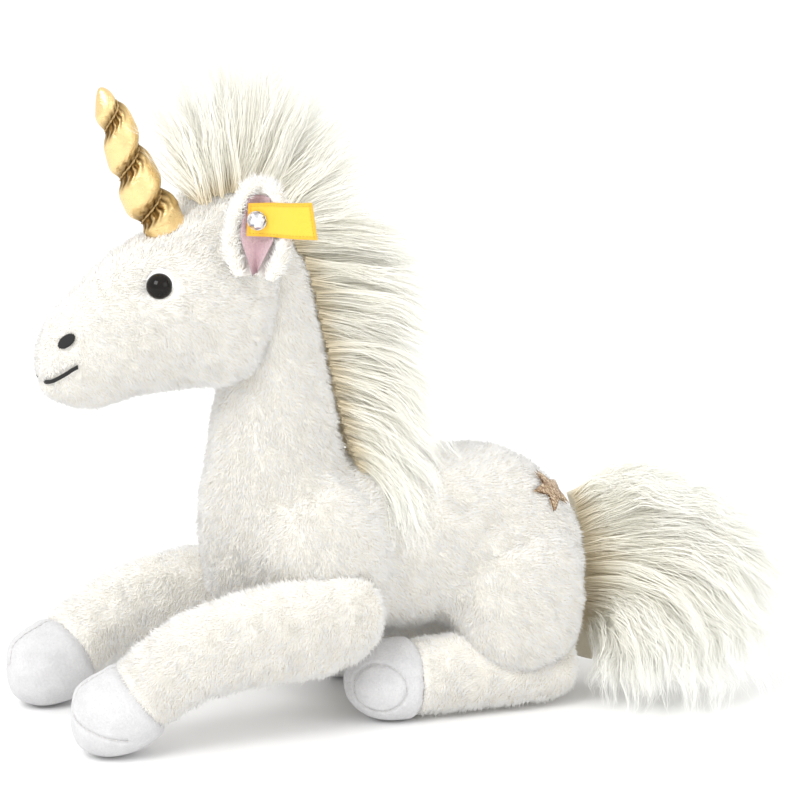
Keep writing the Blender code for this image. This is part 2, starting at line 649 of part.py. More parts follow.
def make_stud(parent):
    """A faceted stone in a metal cup, on a post through the ear, with a washer behind it."""
    tag_back = EAR_THICKNESS + GAP + LINING_THICKNESS + EAR_CUP * 0.78 + GAP
    cup = tag_back + TAG_THICKNESS + GAP
    post = [(POST_RADIUS, -2.2), (POST_RADIUS, cup), (STUD_RADIUS, cup + 0.1), (STUD_RADIUS, cup + 0.7)]
    add_object("ear_stud_post", mesh_from("ear_stud_post", *solid(stud_rings(post, 20)), 30),
               "metal", parent)
    low = cup + 0.7 + GAP
    stone = [(STUD_RADIUS * 0.96, low), (STUD_RADIUS * 0.94, low + 0.4),
             (STUD_RADIUS * 0.5, low + STONE_HEIGHT)]
    add_object("ear_stud_stone", mesh_from("ear_stud_stone", *solid(stud_rings(stone, 8)), 5),
               "stone", parent)
    washer = add_object("ear_stud_washer", mesh_from("ear_stud_washer", *solid(stud_rings(
        [(STUD_RADIUS, -1.2), (STUD_RADIUS, -GAP)], 20)), 30), "metal", parent)
    base, up, facing, _ = ear_frame(1)
    bore = as_cutter(cylinder("cutter_washer_bore", base + up * STUD_UP - facing * 4, facing,
                              POST_RADIUS + 0.3, 5.0, "metal", parent))
    cut(washer, bore)
    return tag_back


def make_tag(tag_back, parent):
    """A woven flag that hangs behind the stud's cup and can turn on its post."""
    base, up, facing, across = ear_frame(1)
    centre = base + up * STUD_UP + facing * tag_back
    rear = across if across.y > 0 else -across
    corners = ((-TAG_OVERHANG, -0.56), (TAG_LENGTH - TAG_OVERHANG, -0.50),
               (TAG_LENGTH - TAG_OVERHANG - 1.5, 0.56), (-TAG_OVERHANG + 1.0, 0.44))
    rings = [[centre + rear * x + up * (y * TAG_HEIGHT) + facing * depth for x, y in corners]
             for depth in (0.0, TAG_THICKNESS)]
    tag = add_object("ear_tag", mesh_from("ear_tag", *solid(rings), 30), "tag", parent)
    cut(tag, as_cutter(cylinder("cutter_tag_hole", centre - facing * 2, facing, POST_RADIUS + 0.35, 5.0,
                                "tag", parent)))


# Legs

def lowered(stations, drop):
    """The same leg with its raised part let down."""
    return tuple((x, y, z - drop * max(0.0, min((z - 13.0) / 20.0, 1.0)), width, height)
                 for x, y, z, width, height in stations)


def leg_rings(stations, side, reach, inset=0.0):
    """Rings across a leg's path, drawn in by the inset."""
    centres = [Vector((x, y, z)) for x, y, z, _, _ in stations]
    rings = []
    for i, (_, _, _, half_width, half_height) in enumerate(stations):
        before, after = centres[max(i - 1, 0)], centres[min(i + 1, len(centres) - 1)]
        along = (after - before).normalized()
        across = Vector((1, 0, 0))
        across = (across - along * across.dot(along)).normalized()
        up = across.cross(along)
        centre = centres[i].copy()
        if i == 0:
            centre += along * inset
        if i == len(stations) - 1:
            centre -= along * inset
        ring = []
        for k in range(LEG_POINTS):
            angle = 2 * math.pi * k / LEG_POINTS
            point = (centre + across * max(half_width - inset, 1.0) * math.cos(angle)
                     + up * max(half_height - inset, 1.0) * math.sin(angle))
            point.z = max(point.z, inset)
            ring.append((side * point.x, point.y - reach, point.z))
        rings.append(ring)
    return rings


def past_seam(rings, seam):
    """The ring just past a seam, where the next cover starts."""
    return [tuple(Vector(a).lerp(Vector(b), SEAM_SPACE))
            for a, b in zip(rings[seam], rings[seam + 1])]


def make_leg(word, stations, seam, side, reach, parent):
    """A plush sleeve, a velour hoof cap sewn to its end, and the stuffing in both."""
    outer = leg_rings(stations, side, reach)
    inner = leg_rings(stations, side, reach, COVER)
    add_object(f"{word}_leg_cover", mesh_from(
        f"{word}_leg_cover", *shell(outer[:seam + 1], inner[:seam + 1], False, True)), "plush", parent)
    caps = [[past_seam(rings, seam)] + rings[seam + 1:] for rings in (outer, inner)]
    add_object(f"{word}_hoof", mesh_from(
        f"{word}_hoof", *shell(*caps, True, False)), "velour", parent)
    filling = leg_rings(stations, side, reach, COVER + 2 * GAP)
    add_object(f"{word}_leg_stuffing", mesh_from(
        f"{word}_leg_stuffing", *solid(filling)), "stuffing", parent)


# Hair and tail

def make_hair(name, outline, half_thickness, parent):
    """A lock mass: a flat pillow over its outline in the YZ plane."""
    middle = np.mean(np.array(outline, float), axis=0)
    rings = []
    for share, x in ((0.7, -1.0), (1.0, -0.45), (1.0, 0.45), (0.7, 1.0)):
        rings.append([(x * half_thickness, *(middle + (np.array(p) - middle) * share)) for p in outline])
    return add_object(name, mesh_from(name, *solid(rings)), "mane_fur", parent)


def make_tail(parent):
    fur = add_object("tail_fur", mesh_from("tail_fur", *solid(tail_rings(TAIL_FUR))),
                     "mane_fur", parent)
    tongue, pocket = [], []
    last = len(TAIL_TONGUE) - 1
    for store, spread in ((tongue, 0.0), (pocket, GAP)):
        for i, centre in enumerate(TAIL_TONGUE):
            before = Vector(TAIL_TONGUE[max(i - 1, 0)])
            after = Vector(TAIL_TONGUE[min(i + 1, last)])
            along = (after - before).normalized()
            across = along.cross(Vector((0, 0, 1))).normalized()
            up = across.cross(along)
            past_end = {0: -6, last: 1}.get(i, 0)
            middle = Vector(centre) + along * spread * past_end
            half = (TONGUE_HALF[0] + spread, TONGUE_HALF[1] + spread)
            store.append([middle + across * sx * half[0] + up * sz * half[1]
                          for sx, sz in ((-1, -1), (1, -1), (1, 1), (-1, 1))])
    add_object("tail_cloth", mesh_from("tail_cloth", *solid(tongue), 20), "backing", parent)
    pocket_mesh = mesh_from("cutter_tail_cloth", *solid(pocket), 20)
    cut(fur, as_cutter(add_object("cutter_tail_cloth", pocket_mesh, "backing", parent)))


def tail_rings(stations):
    """Rings across a path that bends in all directions, kept above the floor."""
    centres = [Vector(s[:3]) for s in stations]
    rings = []
    for i, (_, _, _, half_width, half_height) in enumerate(stations):
        along = (centres[min(i + 1, len(centres) - 1)] - centres[max(i - 1, 0)]).normalized()
        across = along.cross(Vector((0, 0, 1))).normalized()
        up = across.cross(along)
        ring = []
        for k in range(RING_POINTS):
            angle = 2 * math.pi * k / RING_POINTS
            point = (centres[i] + across * half_width * math.cos(angle)
                     + up * half_height * math.sin(angle))
            point.z = max(point.z, 0.3)
            ring.append(point)
        rings.append(ring)
    return rings


def pivot(name, place, parent=None):
    """An empty on a joint's axis, which carries the pieces that move there."""
    empty = bpy.data.objects.new(name, None)
    bpy.context.scene.collection.objects.link(empty)
    empty.empty_display_size = 0.01
    if parent:
        empty.parent = parent
        empty.location = to_world(place) - parent.matrix_world.translation
    else:
        empty.location = to_world(place)
    bpy.context.view_layer.update()
    return empty


def main():
    clear_scene()
    root = pivot("torso_root", (CENTRE_X, CENTRE_Y, 0))
    neck = pivot("neck_axis", (0, NECK_AXIS_Y, NECK_PLATFORM), root)
    head = pivot("head_axis", HEAD_PIVOT, neck)
    horn = pivot("horn_axis", HORN_BASE, head)
    left_ear = pivot("left_ear_axis", EAR_BASE, head)
    right_ear = pivot("right_ear_axis", (-EAR_BASE[0], *EAR_BASE[1:]), head)
    base, up, _, _ = ear_frame(1)
    tag = pivot("tag_axis", base + up * STUD_UP, left_ear)
    tail = pivot("tail_axis", TAIL_PIVOT, root)
    make_torso(root)
    make_star(root)
    make_neck(neck)
    make_hair("mane", MANE_OUTLINE, MANE_HALF_THICKNESS, neck)
    make_head(head)
    make_hair("forelock", FORELOCK_OUTLINE, FORELOCK_HALF_THICKNESS, head)
    make_horn(horn)
    make_ears(left_ear, right_ear)
    tag_back = make_stud(left_ear)
    make_tag(tag_back, tag)
    for word, side, reach, drop in (("left", 1, 0.0, 0.0),
                                    ("right", -1, RIGHT_FORE_REACH, RIGHT_FORE_DROP)):
        fore = pivot(f"{word}_fore_axis", (side * FORE_PIVOT[0], *FORE_PIVOT[1:]), root)
        make_leg(f"{word}_fore", lowered(FORE_LEG, drop), FORE_SEAM, side, reach, fore)
        hind = pivot(f"{word}_hind_axis", (side * HIND_PIVOT[0], *HIND_PIVOT[1:]), root)
        make_leg(f"{word}_hind", HIND_LEG, HIND_SEAM, side, 0.0, hind)
    make_tail(tail)


main()
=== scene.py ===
"""A lying plush unicorn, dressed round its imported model.

Sewn skins carry a combed pile, and long hair makes the mane, the forelock and the tail. The
horn is twisted foil cloth, the hooves are velour, and a stud pins a plain woven tag to one ear.

The drawing is in millimetres. place() turns its points into metres of the shared frame.
"""

import sys
import json
import logging
import math
from dataclasses import dataclass, field
from enum import Enum

import bmesh
import bpy
import numpy as np
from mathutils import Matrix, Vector
from mathutils.bvhtree import BVHTree


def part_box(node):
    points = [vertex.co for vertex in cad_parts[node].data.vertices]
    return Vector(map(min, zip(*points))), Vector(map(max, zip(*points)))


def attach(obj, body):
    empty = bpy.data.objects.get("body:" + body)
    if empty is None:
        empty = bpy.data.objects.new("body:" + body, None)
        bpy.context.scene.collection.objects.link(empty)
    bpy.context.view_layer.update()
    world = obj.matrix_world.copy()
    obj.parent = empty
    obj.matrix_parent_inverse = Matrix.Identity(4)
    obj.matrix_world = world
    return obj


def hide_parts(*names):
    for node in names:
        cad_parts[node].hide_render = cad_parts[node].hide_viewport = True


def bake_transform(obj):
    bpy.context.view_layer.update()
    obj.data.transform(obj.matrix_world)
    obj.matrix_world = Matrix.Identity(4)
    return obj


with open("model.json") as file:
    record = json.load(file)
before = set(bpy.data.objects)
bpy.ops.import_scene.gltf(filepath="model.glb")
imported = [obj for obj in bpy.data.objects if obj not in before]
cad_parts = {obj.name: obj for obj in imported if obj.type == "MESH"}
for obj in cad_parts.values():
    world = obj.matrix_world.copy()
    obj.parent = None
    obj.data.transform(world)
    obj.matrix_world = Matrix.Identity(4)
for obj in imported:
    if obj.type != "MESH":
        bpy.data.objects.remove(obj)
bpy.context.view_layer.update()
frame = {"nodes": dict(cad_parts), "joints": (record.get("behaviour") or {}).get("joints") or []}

LOG = logging.getLogger("unicorn")
MM = 0.001
NECK_AXIS = (0.0, -46.5, 72.0)
CENTRE = np.array(NECK_AXIS) - np.array(
    next(joint["pos_m"] for joint in frame["joints"] if joint["name"] == "neck_turn")) / MM


def place(points: np.ndarray | tuple | list) -> np.ndarray:
    """Moves points of the drawing, in millimetres, into the shared frame, in metres."""
    return (np.asarray(points, float) - CENTRE) * MM


def at(x: float, y: float, z: float) -> tuple[float, float, float]:
    """One place of the drawing as three plain numbers in metres."""
    return tuple(float(v) for v in place((x, y, z)))


def unit(v: np.ndarray) -> np.ndarray:
    """Vectors of length one along v."""
    v = np.asarray(v, float)
    return v / np.maximum(np.linalg.norm(v, axis=-1, keepdims=True), 1e-9)


def curve_through(x: np.ndarray, table: tuple) -> np.ndarray:
    """Reads a smooth curve through a table's points that never overshoots them.

    Args:
        x: where the curve is read.
        table: rows of place and value, in order.

    Returns:
        The curve's values at x.
    """
    xs, ys = (np.array(column, float) for column in zip(*table))
    step = np.diff(xs)
    slope = np.diff(ys) / step
    total = slope[1:] + slope[:-1]
    inner = np.where(slope[1:] * slope[:-1] > 0,
                     2 * slope[1:] * slope[:-1] / np.where(total == 0, 1, total), 0.0)
    lean = np.concatenate([[slope[0]], inner, [slope[-1]]])
    i = np.clip(np.searchsorted(xs, x) - 1, 0, len(step) - 1)
    t = np.clip((x - xs[i]) / step[i], 0, 1)
    return (ys[i] * (1 + 2 * t) * (1 - t) ** 2 + lean[i] * step[i] * t * (1 - t) ** 2
            + ys[i + 1] * t * t * (3 - 2 * t) - lean[i + 1] * step[i] * t * t * (1 - t))


def path_through(points: np.ndarray, count: int) -> np.ndarray:
    """Resamples rows of numbers as a smooth path, evenly by the length of its first three columns.

    Args:
        points: rows of x, y, z and any further values.
        count: how many rows to make.

    Returns:
        The smooth rows.
    """
    points = np.asarray(points, float)
    length = np.concatenate([[0], np.cumsum(np.linalg.norm(np.diff(points[:, :3], axis=0), axis=1))])
    where = np.linspace(0, length[-1], count)
    return np.stack([curve_through(where, tuple(zip(length, column))) for column in points.T], axis=1)


# Node graphs

@dataclass
class Wire:
    """An output socket that takes part in sums as a number does."""

    graph: "Graph"
    socket: bpy.types.NodeSocket

    def _sum(self, operation: str, first: object, second: object) -> "Wire":
        """Adds one Math node."""
        return self.graph.wire("ShaderNodeMath", {"operation": operation}, {0: first, 1: second})

    def __add__(self, other: object) -> "Wire":
        """self + other."""
        return self._sum("ADD", self, other)

    __radd__ = __add__

    def __mul__(self, other: object) -> "Wire":
        """self * other."""
        return self._sum("MULTIPLY", self, other)

    __rmul__ = __mul__

    def __sub__(self, other: object) -> "Wire":
        """self - other."""
        return self._sum("SUBTRACT", self, other)

    def __rsub__(self, other: object) -> "Wire":
        """other - self."""
        return self._sum("SUBTRACT", other, self)

    def __pow__(self, other: object) -> "Wire":
        """self to a power."""
        return self._sum("POWER", self, other)

    def __gt__(self, other: object) -> "Wire":
        """One where self is above other, and zero elsewhere."""
        return self._sum("GREATER_THAN", self, other)


@dataclass
class Graph:
    """Adds nodes to one tree."""

    tree: bpy.types.NodeTree

    def node(self, kind: str, settings: dict | None = None, inputs: dict | None = None) -> bpy.types.Node:
        """Adds one node.

        Args:
            kind: the node's type.
            settings: properties, set first; "stops" holds a ramp's places and colours.
            inputs: values or wires, by the socket's name or number.

        Returns:
            The node.
        """
        made = self.tree.nodes.new(kind)
        for key, value in (settings or {}).items():
            if key == "stops":
                ramp = made.color_ramp
                while len(ramp.elements) < len(value):
                    ramp.elements.new(0.5)
                for element, (where, colour) in zip(ramp.elements, value):
                    element.position = where
                    element.color = (*colour, 1.0)
            else:
                setattr(made, key, value)
        for key, value in (inputs or {}).items():
            if isinstance(value, Wire):
                self.tree.links.new(value.socket, made.inputs[key])
            else:
                made.inputs[key].default_value = value
        return made

    def wire(self, kind: str, settings: dict | None = None, inputs: dict | None = None,
             output: int | str = 0) -> Wire:
        """Adds one node and returns the wire from one of its outputs."""
        return Wire(self, self.node(kind, settings, inputs).outputs[output])

    def vector(self, operation: str, first: object, second: object = None, scale: object = None) -> Wire:
        """Adds one Vector Math node."""
        inputs = {0: first}
        if second is not None:
            inputs[1] = second
        if scale is not None:
            inputs["Scale"] = scale
        return self.wire("ShaderNodeVectorMath", {"operation": operation}, inputs)

    def blend(self, factor: object, first: object, second: object, mode: str = "MIX") -> Wire:
        """Mixes two colours."""
        def colour(value: object) -> object:
            return value if isinstance(value, Wire) else (*value, 1.0)
        return self.wire("ShaderNodeMix", {"data_type": "RGBA", "blend_type": mode},
                         {0: factor, 6: colour(first), 7: colour(second)}, 2)

    def noise(self, where: Wire, scale: float, detail: float = 3.0, roughness: float = 0.55) -> Wire:
        """Adds soft noise between zero and one."""
        return self.wire("ShaderNodeTexNoise", None,
                         {"Vector": where, "Scale": scale, "Detail": detail, "Roughness": roughness})

    def ramp(self, value: Wire, low: float, high: float) -> Wire:
        """Spreads the stretch from low to high over zero to one."""
        return self.wire("ShaderNodeMapRange", {"clamp": True},
                         {"Value": value, "From Min": low, "From Max": high})

    def attribute(self, name: str) -> Wire:
        """Reads a number stored on the mesh by name."""
        return self.wire("ShaderNodeAttribute", {"attribute_name": name}, None, "Fac")

    def here(self) -> Wire:
        """The place on the object, in metres."""
        return self.wire("ShaderNodeTexCoord", None, None, "Object")

    def bump(self, height: Wire, distance: float, strength: float = 1.0) -> Wire:
        """Turns a height into a bent normal."""
        return self.wire("ShaderNodeBump", None,
                         {"Height": height, "Distance": distance, "Strength": strength})


# Finishes

@dataclass(frozen=True)
class Finish:
    """A named surface. Each kind paints its own nodes."""

    name: str

    def paint(self, graph: Graph) -> dict:
        """Returns the shader's inputs, by socket name."""
        raise NotImplementedError

    def make(self) -> bpy.types.Material:
        """Returns the material, which is built the first time."""
        made = bpy.data.materials.get(self.name)
        if made:
            return made
        made = bpy.data.materials.new(self.name)
        made.use_nodes = True
        made.node_tree.nodes.clear()
        graph = Graph(made.node_tree)
        shader = graph.wire("ShaderNodeBsdfPrincipled", None, self.paint(graph))
        graph.node("ShaderNodeOutputMaterial", None, {"Surface": shader})
        return made


@dataclass(frozen=True)
class PileFinish(Finish):
    """Short pile: darker and warmer at its roots, partly painted shade deep in the pile, with soft patches of
    painted shade where it lies differently.
    """

    tip: tuple = (0.995, 0.988, 0.965)
    # painted shade: the colour of the darker patches between the clumps
    shade: tuple = (0.93, 0.905, 0.85)
    root: tuple = (0.88, 0.84, 0.75)
    glow: float = 0.07  # stands in for the light that fine white fibres pass on to each other

    def paint(self, graph: Graph) -> dict:
        """Returns the shader's inputs."""
        here = graph.here()
        # painted shade: soft noise patches darken the pile where its clumps part
        painted_shade_patches = graph.ramp(graph.noise(here, 190.0, 4.0, 0.65), 0.45, 0.68)
        tint = graph.attribute("tint")
        body = graph.blend(painted_shade_patches * 0.75 + tint * 0.25, self.tip, self.shade)
        # the darker root colour is partly painted shade deep in the pile
        colour = graph.blend(graph.ramp(graph.attribute("along"), 0.0, 0.55), self.root, body)
        return {"Base Color": colour, "Roughness": 0.82 + tint * 0.14, "Sheen Weight": 0.25,
                "Sheen Roughness": 0.5, "Specular IOR Level": 0.25, "Emission Color": colour,
                "Emission Strength": self.glow}


@dataclass(frozen=True)
class BackingFinish(Finish):
    """The knitted ground that carries a pile."""

    light: tuple = (0.96, 0.945, 0.905)
    dark: tuple = (0.89, 0.865, 0.80)
    knit: float = 1500.0

    def paint(self, graph: Graph) -> dict:
        """Returns the shader's inputs."""
        here = graph.here()
        mottle = graph.noise(here, 130.0, 5.0, 0.65)
        fibres = graph.noise(here, self.knit, 3.0, 0.7)
        colour = graph.blend(graph.ramp(mottle, 0.35, 0.7), self.light, self.dark)
        return {"Base Color": colour, "Roughness": 0.86 + fibres * 0.12, "Sheen Weight": 0.3,
                "Normal": graph.bump(mottle * 0.6 + fibres * 0.4, 0.0009)}


@dataclass(frozen=True)
class HairFinish(Finish):
    """Long hair: tan and cream at the roots, paler towards the tips."""

    root: tuple = (0.76, 0.67, 0.49)
    middle: tuple = (0.93, 0.915, 0.845)
    tip: tuple = (0.94, 0.945, 0.925)
    middle_at: float = 0.17
    glow: float = 0.035  # stands in for the light that fine white fibres pass on to each other

    def paint(self, graph: Graph) -> dict:
        """Returns the shader's inputs."""
        along = graph.attribute("along")
        tint = graph.attribute("tint")
        colour = graph.wire("ShaderNodeValToRGB", {"stops": (
            (0.0, self.root), (self.middle_at, self.middle), (1.0, self.tip))}, {"Fac": along})
        streaks = graph.blend(tint * 0.55, (1.0, 1.0, 1.0), (0.94, 0.925, 0.86))
        painted = graph.blend(1.0, colour, streaks, "MULTIPLY")
        return {"Base Color": painted, "Roughness": 0.50 + tint * 0.22, "Specular IOR Level": 0.2,
                "Sheen Weight": 0.2, "Emission Color": painted, "Emission Strength": self.glow}


@dataclass(frozen=True)
class VelourFinish(Finish):
    """Clipped velour: a fine grain with a soft sheen."""

    light: tuple = (0.79, 0.785, 0.79)
    dark: tuple = (0.66, 0.655, 0.665)
    grain: float = 1100.0

    def paint(self, graph: Graph) -> dict:
        """Returns the shader's inputs."""
        here = graph.here()
        grain = graph.noise(here, self.grain, 4.0, 0.75)
        cloud = graph.noise(here, 160.0, 3.0, 0.5)
        colour = graph.blend(graph.ramp(grain * 0.6 + cloud * 0.4, 0.38, 0.66), self.dark, self.light)
        return {"Base Color": colour, "Roughness": 0.80 + grain * 0.18, "Sheen Weight": 0.5,
                "Sheen Roughness": 0.4, "Specular IOR Level": 0.2,
                "Normal": graph.bump(grain, 0.0008)}


@dataclass(frozen=True)
class FoilFinish(Finish):
    """Gilt foil cloth: a bright metal skin with fine crinkles and duller creases, with painted shade in the
    grooves and painted dark reflections on the pleats.
    """

    bright: tuple = (0.90, 0.66, 0.32)
    # the colour of the painted shade and the painted dark reflections
    deep: tuple = (0.13, 0.07, 0.02)

    def paint(self, graph: Graph) -> dict:
        """Returns the shader's inputs."""
        here = graph.here()
        crinkle = graph.noise(here, 420.0, 4.0, 0.6)
        weave = graph.noise(here, 2600.0, 2.0, 0.6)
        # the stored fold value is painted shade in the grooves plus painted dark reflections on the pleats
        fold = graph.attribute("fold")
        # the crinkle noise adds smaller patches of painted reflection
        colour = graph.blend(graph.ramp(fold * 0.85 + crinkle * 0.4, 0.22, 0.86), self.bright, self.deep)
        return {"Base Color": colour, "Metallic": 1.0, "Roughness": 0.20 + crinkle * 0.16 + fold * 0.12,
                "Normal": graph.bump(crinkle * 0.8 + weave * 0.2, 0.0007, 0.7)}


@dataclass(frozen=True)
class EyeFinish(Finish):
    """Black glossy resin with the faintest brown depth."""

    def paint(self, graph: Graph) -> dict:
        """Returns the shader's inputs."""
        cloud = graph.noise(graph.here(), 350.0, 2.0, 0.5)
        return {"Base Color": graph.blend(cloud, (0.003, 0.003, 0.003), (0.012, 0.009, 0.007)),
                "Roughness": 0.03 + cloud * 0.03, "Specular IOR Level": 0.12, "Coat Weight": 0.14,
                "Coat Roughness": 0.02}


@dataclass(frozen=True)
class ThreadFinish(Finish):
    """Twisted thread of one colour, with plies and lint."""

    colour: tuple = (0.02, 0.018, 0.018)
    pale: tuple = (0.09, 0.08, 0.08)

    def paint(self, graph: Graph) -> dict:
        """Returns the shader's inputs."""
        here = graph.here()
        ply = graph.wire("ShaderNodeTexWave", {"bands_direction": "DIAGONAL"},
                         {"Vector": here, "Scale": 900.0, "Distortion": 2.0}, "Fac")
        lint = graph.noise(here, 2400.0, 2.0, 0.6)
        return {"Base Color": graph.blend(ply * 0.5 + lint * 0.3, self.colour, self.pale),
                "Roughness": 0.55 + lint * 0.3, "Normal": graph.bump(ply, 0.0002)}


@dataclass(frozen=True)
class HardFinish(Finish):
    """Polished metal, plastic or cut stone, with fine scratches."""

    colour: tuple = (0.75, 0.75, 0.78)
    metallic: float = 1.0
    rough: float = 0.18

    def paint(self, graph: Graph) -> dict:
        """Returns the shader's inputs."""
        wear = graph.noise(graph.here(), 900.0, 4.0, 0.6)
        low = tuple(0.86 * c for c in self.colour)
        return {"Base Color": graph.blend(wear, self.colour, low), "Metallic": self.metallic,
                "Roughness": self.rough + wear * 0.12, "Coat Weight": 0.3,
                "Normal": graph.bump(wear, 0.00004)}


@dataclass(frozen=True)
class CrystalFinish(Finish):
    """A foiled crystal: painted glints give each facet-sized cell its own brightness."""

    def paint(self, graph: Graph) -> dict:
        """Returns the shader's inputs."""
        cells = graph.node("ShaderNodeTexVoronoi", None, {"Vector": graph.here(), "Scale": 620.0})
        # painted glints: random cells are made dark or bright as if each facet caught the light differently
        painted_facet_glint = graph.ramp(Wire(graph, cells.outputs["Color"]), 0.1, 0.8)
        return {"Base Color": graph.blend(painted_facet_glint, (0.12, 0.12, 0.15), (0.99, 0.99, 1.0)),
                "Metallic": 0.4 + painted_facet_glint * 0.3, "Roughness": 0.04 + painted_facet_glint * 0.05, "Coat Weight": 1.0,
                "Coat Roughness": 0.02}


@dataclass(frozen=True)
class WovenFinish(Finish):
    """A ribbon weave: raised warp and weft, with a darker selvedge."""

    body: tuple = (0.95, 0.58, 0.035)
    edge: tuple = (0.83, 0.42, 0.02)

    def paint(self, graph: Graph) -> dict:
        """Returns the shader's inputs."""
        thread = graph.wire("ShaderNodeUVMap", {"uv_map": "UVMap"})
        warp = graph.wire("ShaderNodeTexWave", {"bands_direction": "X"},
                          {"Vector": thread, "Scale": 17.0, "Distortion": 0.4}, "Fac")
        weft = graph.wire("ShaderNodeTexWave", {"bands_direction": "Y"},
                          {"Vector": thread, "Scale": 9.5, "Distortion": 0.4}, "Fac")
        border = graph.attribute("border")
        weave = graph.wire("ShaderNodeMath", {"operation": "MAXIMUM"}, {0: warp, 1: weft})
        body = graph.blend(weave * 0.25, self.body, (0.99, 0.70, 0.12))
        return {"Base Color": graph.blend(border, body, self.edge), "Roughness": 0.6 + weave * 0.2,
                "Sheen Weight": 0.2, "Normal": graph.bump(weave, 0.00012)}


@dataclass(frozen=True)
class GlitterFinish(Finish):
    """Bronze glitter flakes, each with its own colour and tilt."""

    def paint(self, graph: Graph) -> dict:
        """Returns the shader's inputs."""
        here = graph.here()
        flakes = graph.node("ShaderNodeTexVoronoi", None, {"Vector": here, "Scale": 1900.0})
        hue = graph.ramp(Wire(graph, flakes.outputs["Color"]), 0.0, 1.0)
        colour = graph.wire("ShaderNodeValToRGB", {"stops": (
            (0.0, (0.10, 0.055, 0.03)), (0.35, (0.30, 0.19, 0.11)), (0.7, (0.56, 0.42, 0.28)),
            (1.0, (0.95, 0.84, 0.66)))}, {"Fac": hue})
        return {"Base Color": colour, "Metallic": 0.3 + hue * 0.5, "Roughness": 0.25 + hue * 0.25,
                "Normal": graph.bump(hue, 0.0004)}


@dataclass(frozen=True)
class FloorFinish(Finish):
    """A plain pale table."""

    def paint(self, graph: Graph) -> dict:
        """Returns the shader's inputs."""
        cloud = graph.noise(graph.here(), 3.0, 2.0, 0.5)
        return {"Base Color": graph.blend(cloud, (0.93, 0.93, 0.93), (0.95, 0.95, 0.95)),
                "Roughness": 0.7 + cloud * 0.1, "Specular IOR Level": 0.1}


PLUSH = BackingFinish("plush_ground")
PILE = PileFinish("plush_pile")
MANE_HAIR = HairFinish("mane_hair")
TAIL_HAIR = HairFinish("tail_hair", middle_at=0.22)
HOOF_VELOUR = VelourFinish("hoof_velour")
EAR_VELOUR = VelourFinish("ear_lining_velour", (0.80, 0.60, 0.62), (0.62, 0.42, 0.46))
TAIL_BACKING = BackingFinish("tail_backing", (0.88, 0.82, 0.68), (0.74, 0.66, 0.50), 900.0)
LAME = FoilFinish("gilt_foil_cloth")
RESIN = EyeFinish("black_eye_resin")
BLACK_THREAD = ThreadFinish("black_thread")
GILT_THREAD = ThreadFinish("gilt_thread", (0.42, 0.26, 0.10), (0.70, 0.50, 0.22))
WHITE_THREAD = ThreadFinish("white_thread", (0.66, 0.65, 0.63), (0.84, 0.83, 0.81))
TAG_THREAD = ThreadFinish("tag_thread", (0.80, 0.42, 0.03), (0.93, 0.62, 0.10))
STEEL = HardFinish("stud_metal")
WASHER_PLASTIC = HardFinish("washer_plastic", (0.85, 0.85, 0.85), 0.0, 0.4)
CRYSTAL = CrystalFinish("cut_crystal")
TAG_WEAVE = WovenFinish("tag_weave")
GLITTER = GlitterFinish("bronze_glitter")
TABLE = FloorFinish("pale_table")


# Meshes

@dataclass
class Shell:
    """Points in millimetres and the faces between them."""

    points: np.ndarray
    faces: list

    def mirrored(self) -> "Shell":
        """The same shell on the animal's other side."""
        return Shell(self.points * (-1, 1, 1), [tuple(reversed(face)) for face in self.faces])


def join(shells: list[Shell]) -> Shell:
    """Puts several shells into one."""
    faces, start = [], 0
    for shell in shells:
        faces += [tuple(i + start for i in face) for face in shell.faces]
        start += len(shell.points)
    return Shell(np.concatenate([shell.points for shell in shells]), faces)


def through_rings(rings: np.ndarray) -> Shell:
    """Joins rings of points into a tube whose ends are closed with fans.

    Args:
        rings: an array of rings, points and three coordinates.

    Returns:
        The closed tube.
    """
    count, around, _ = rings.shape
    faces = [(i * around + k, i * around + (k + 1) % around, (i + 1) * around + (k + 1) % around,
              (i + 1) * around + k) for i in range(count - 1) for k in range(around)]
    last, top = count * around, (count - 1) * around
    faces += [(last, (k + 1) % around, k) for k in range(around)]
    faces += [(last + 1, top + k, top + (k + 1) % around) for k in range(around)]
    middles = [rings[0].mean(axis=0), rings[-1].mean(axis=0)]
    return Shell(np.concatenate([rings.reshape(-1, 3), middles]), faces)


def two_layers(low: np.ndarray, high: np.ndarray) -> Shell:
    """Closes two grids of the same size into one flat body.

    Args:
        low: the rear grid's rows of places.
        high: the front grid's rows of places.

    Returns:
        The closed body.
    """
    rows, columns = low.shape[:2]
    layer = rows * columns
    faces = [(s + i * columns + j, s + i * columns + j + 1, s + (i + 1) * columns + j + 1,
              s + (i + 1) * columns + j) for s in (0, layer) for i in range(rows - 1)
             for j in range(columns - 1)]
    border = (list(range(columns)) + [i * columns + columns - 1 for i in range(1, rows)]
              + [(rows - 1) * columns + j for j in range(columns - 2, -1, -1)]
              + [i * columns for i in range(rows - 2, 0, -1)])
    faces += [(a, b, layer + b, layer + a) for a, b in zip(border, border[1:] + border[:1])]
    return Shell(np.concatenate([low.reshape(-1, 3), high.reshape(-1, 3)]), faces)


def oval(around: int, power: float = 2.0) -> np.ndarray:
    """The two coordinates of an oval's points, squarer where the power is above 2."""
    angle = 2 * math.pi * np.arange(around) / around
    flat = np.stack([np.cos(angle), np.sin(angle)])
    return np.sign(flat) * np.abs(flat) ** (2 / power)


def through_sections(where: np.ndarray, tables: tuple, around: int, power: float) -> Shell:
    """Makes a body from sections that stand along Y.

    Args:
        where: each section's Y.
        tables: the top's, the bottom's and the half width's rows of Y and value.
        around: points in each section.
        power: 2 for an oval section, more for a squarer one.

    Returns:
        The closed body.
    """
    top, low, wide = (curve_through(where, table) for table in tables)
    c, s = oval(around, power)
    return through_rings(np.stack([
        wide[:, None] * c, np.repeat(where[:, None], around, axis=1),
        ((top + low) / 2)[:, None] + ((top - low) / 2)[:, None] * s], axis=2))


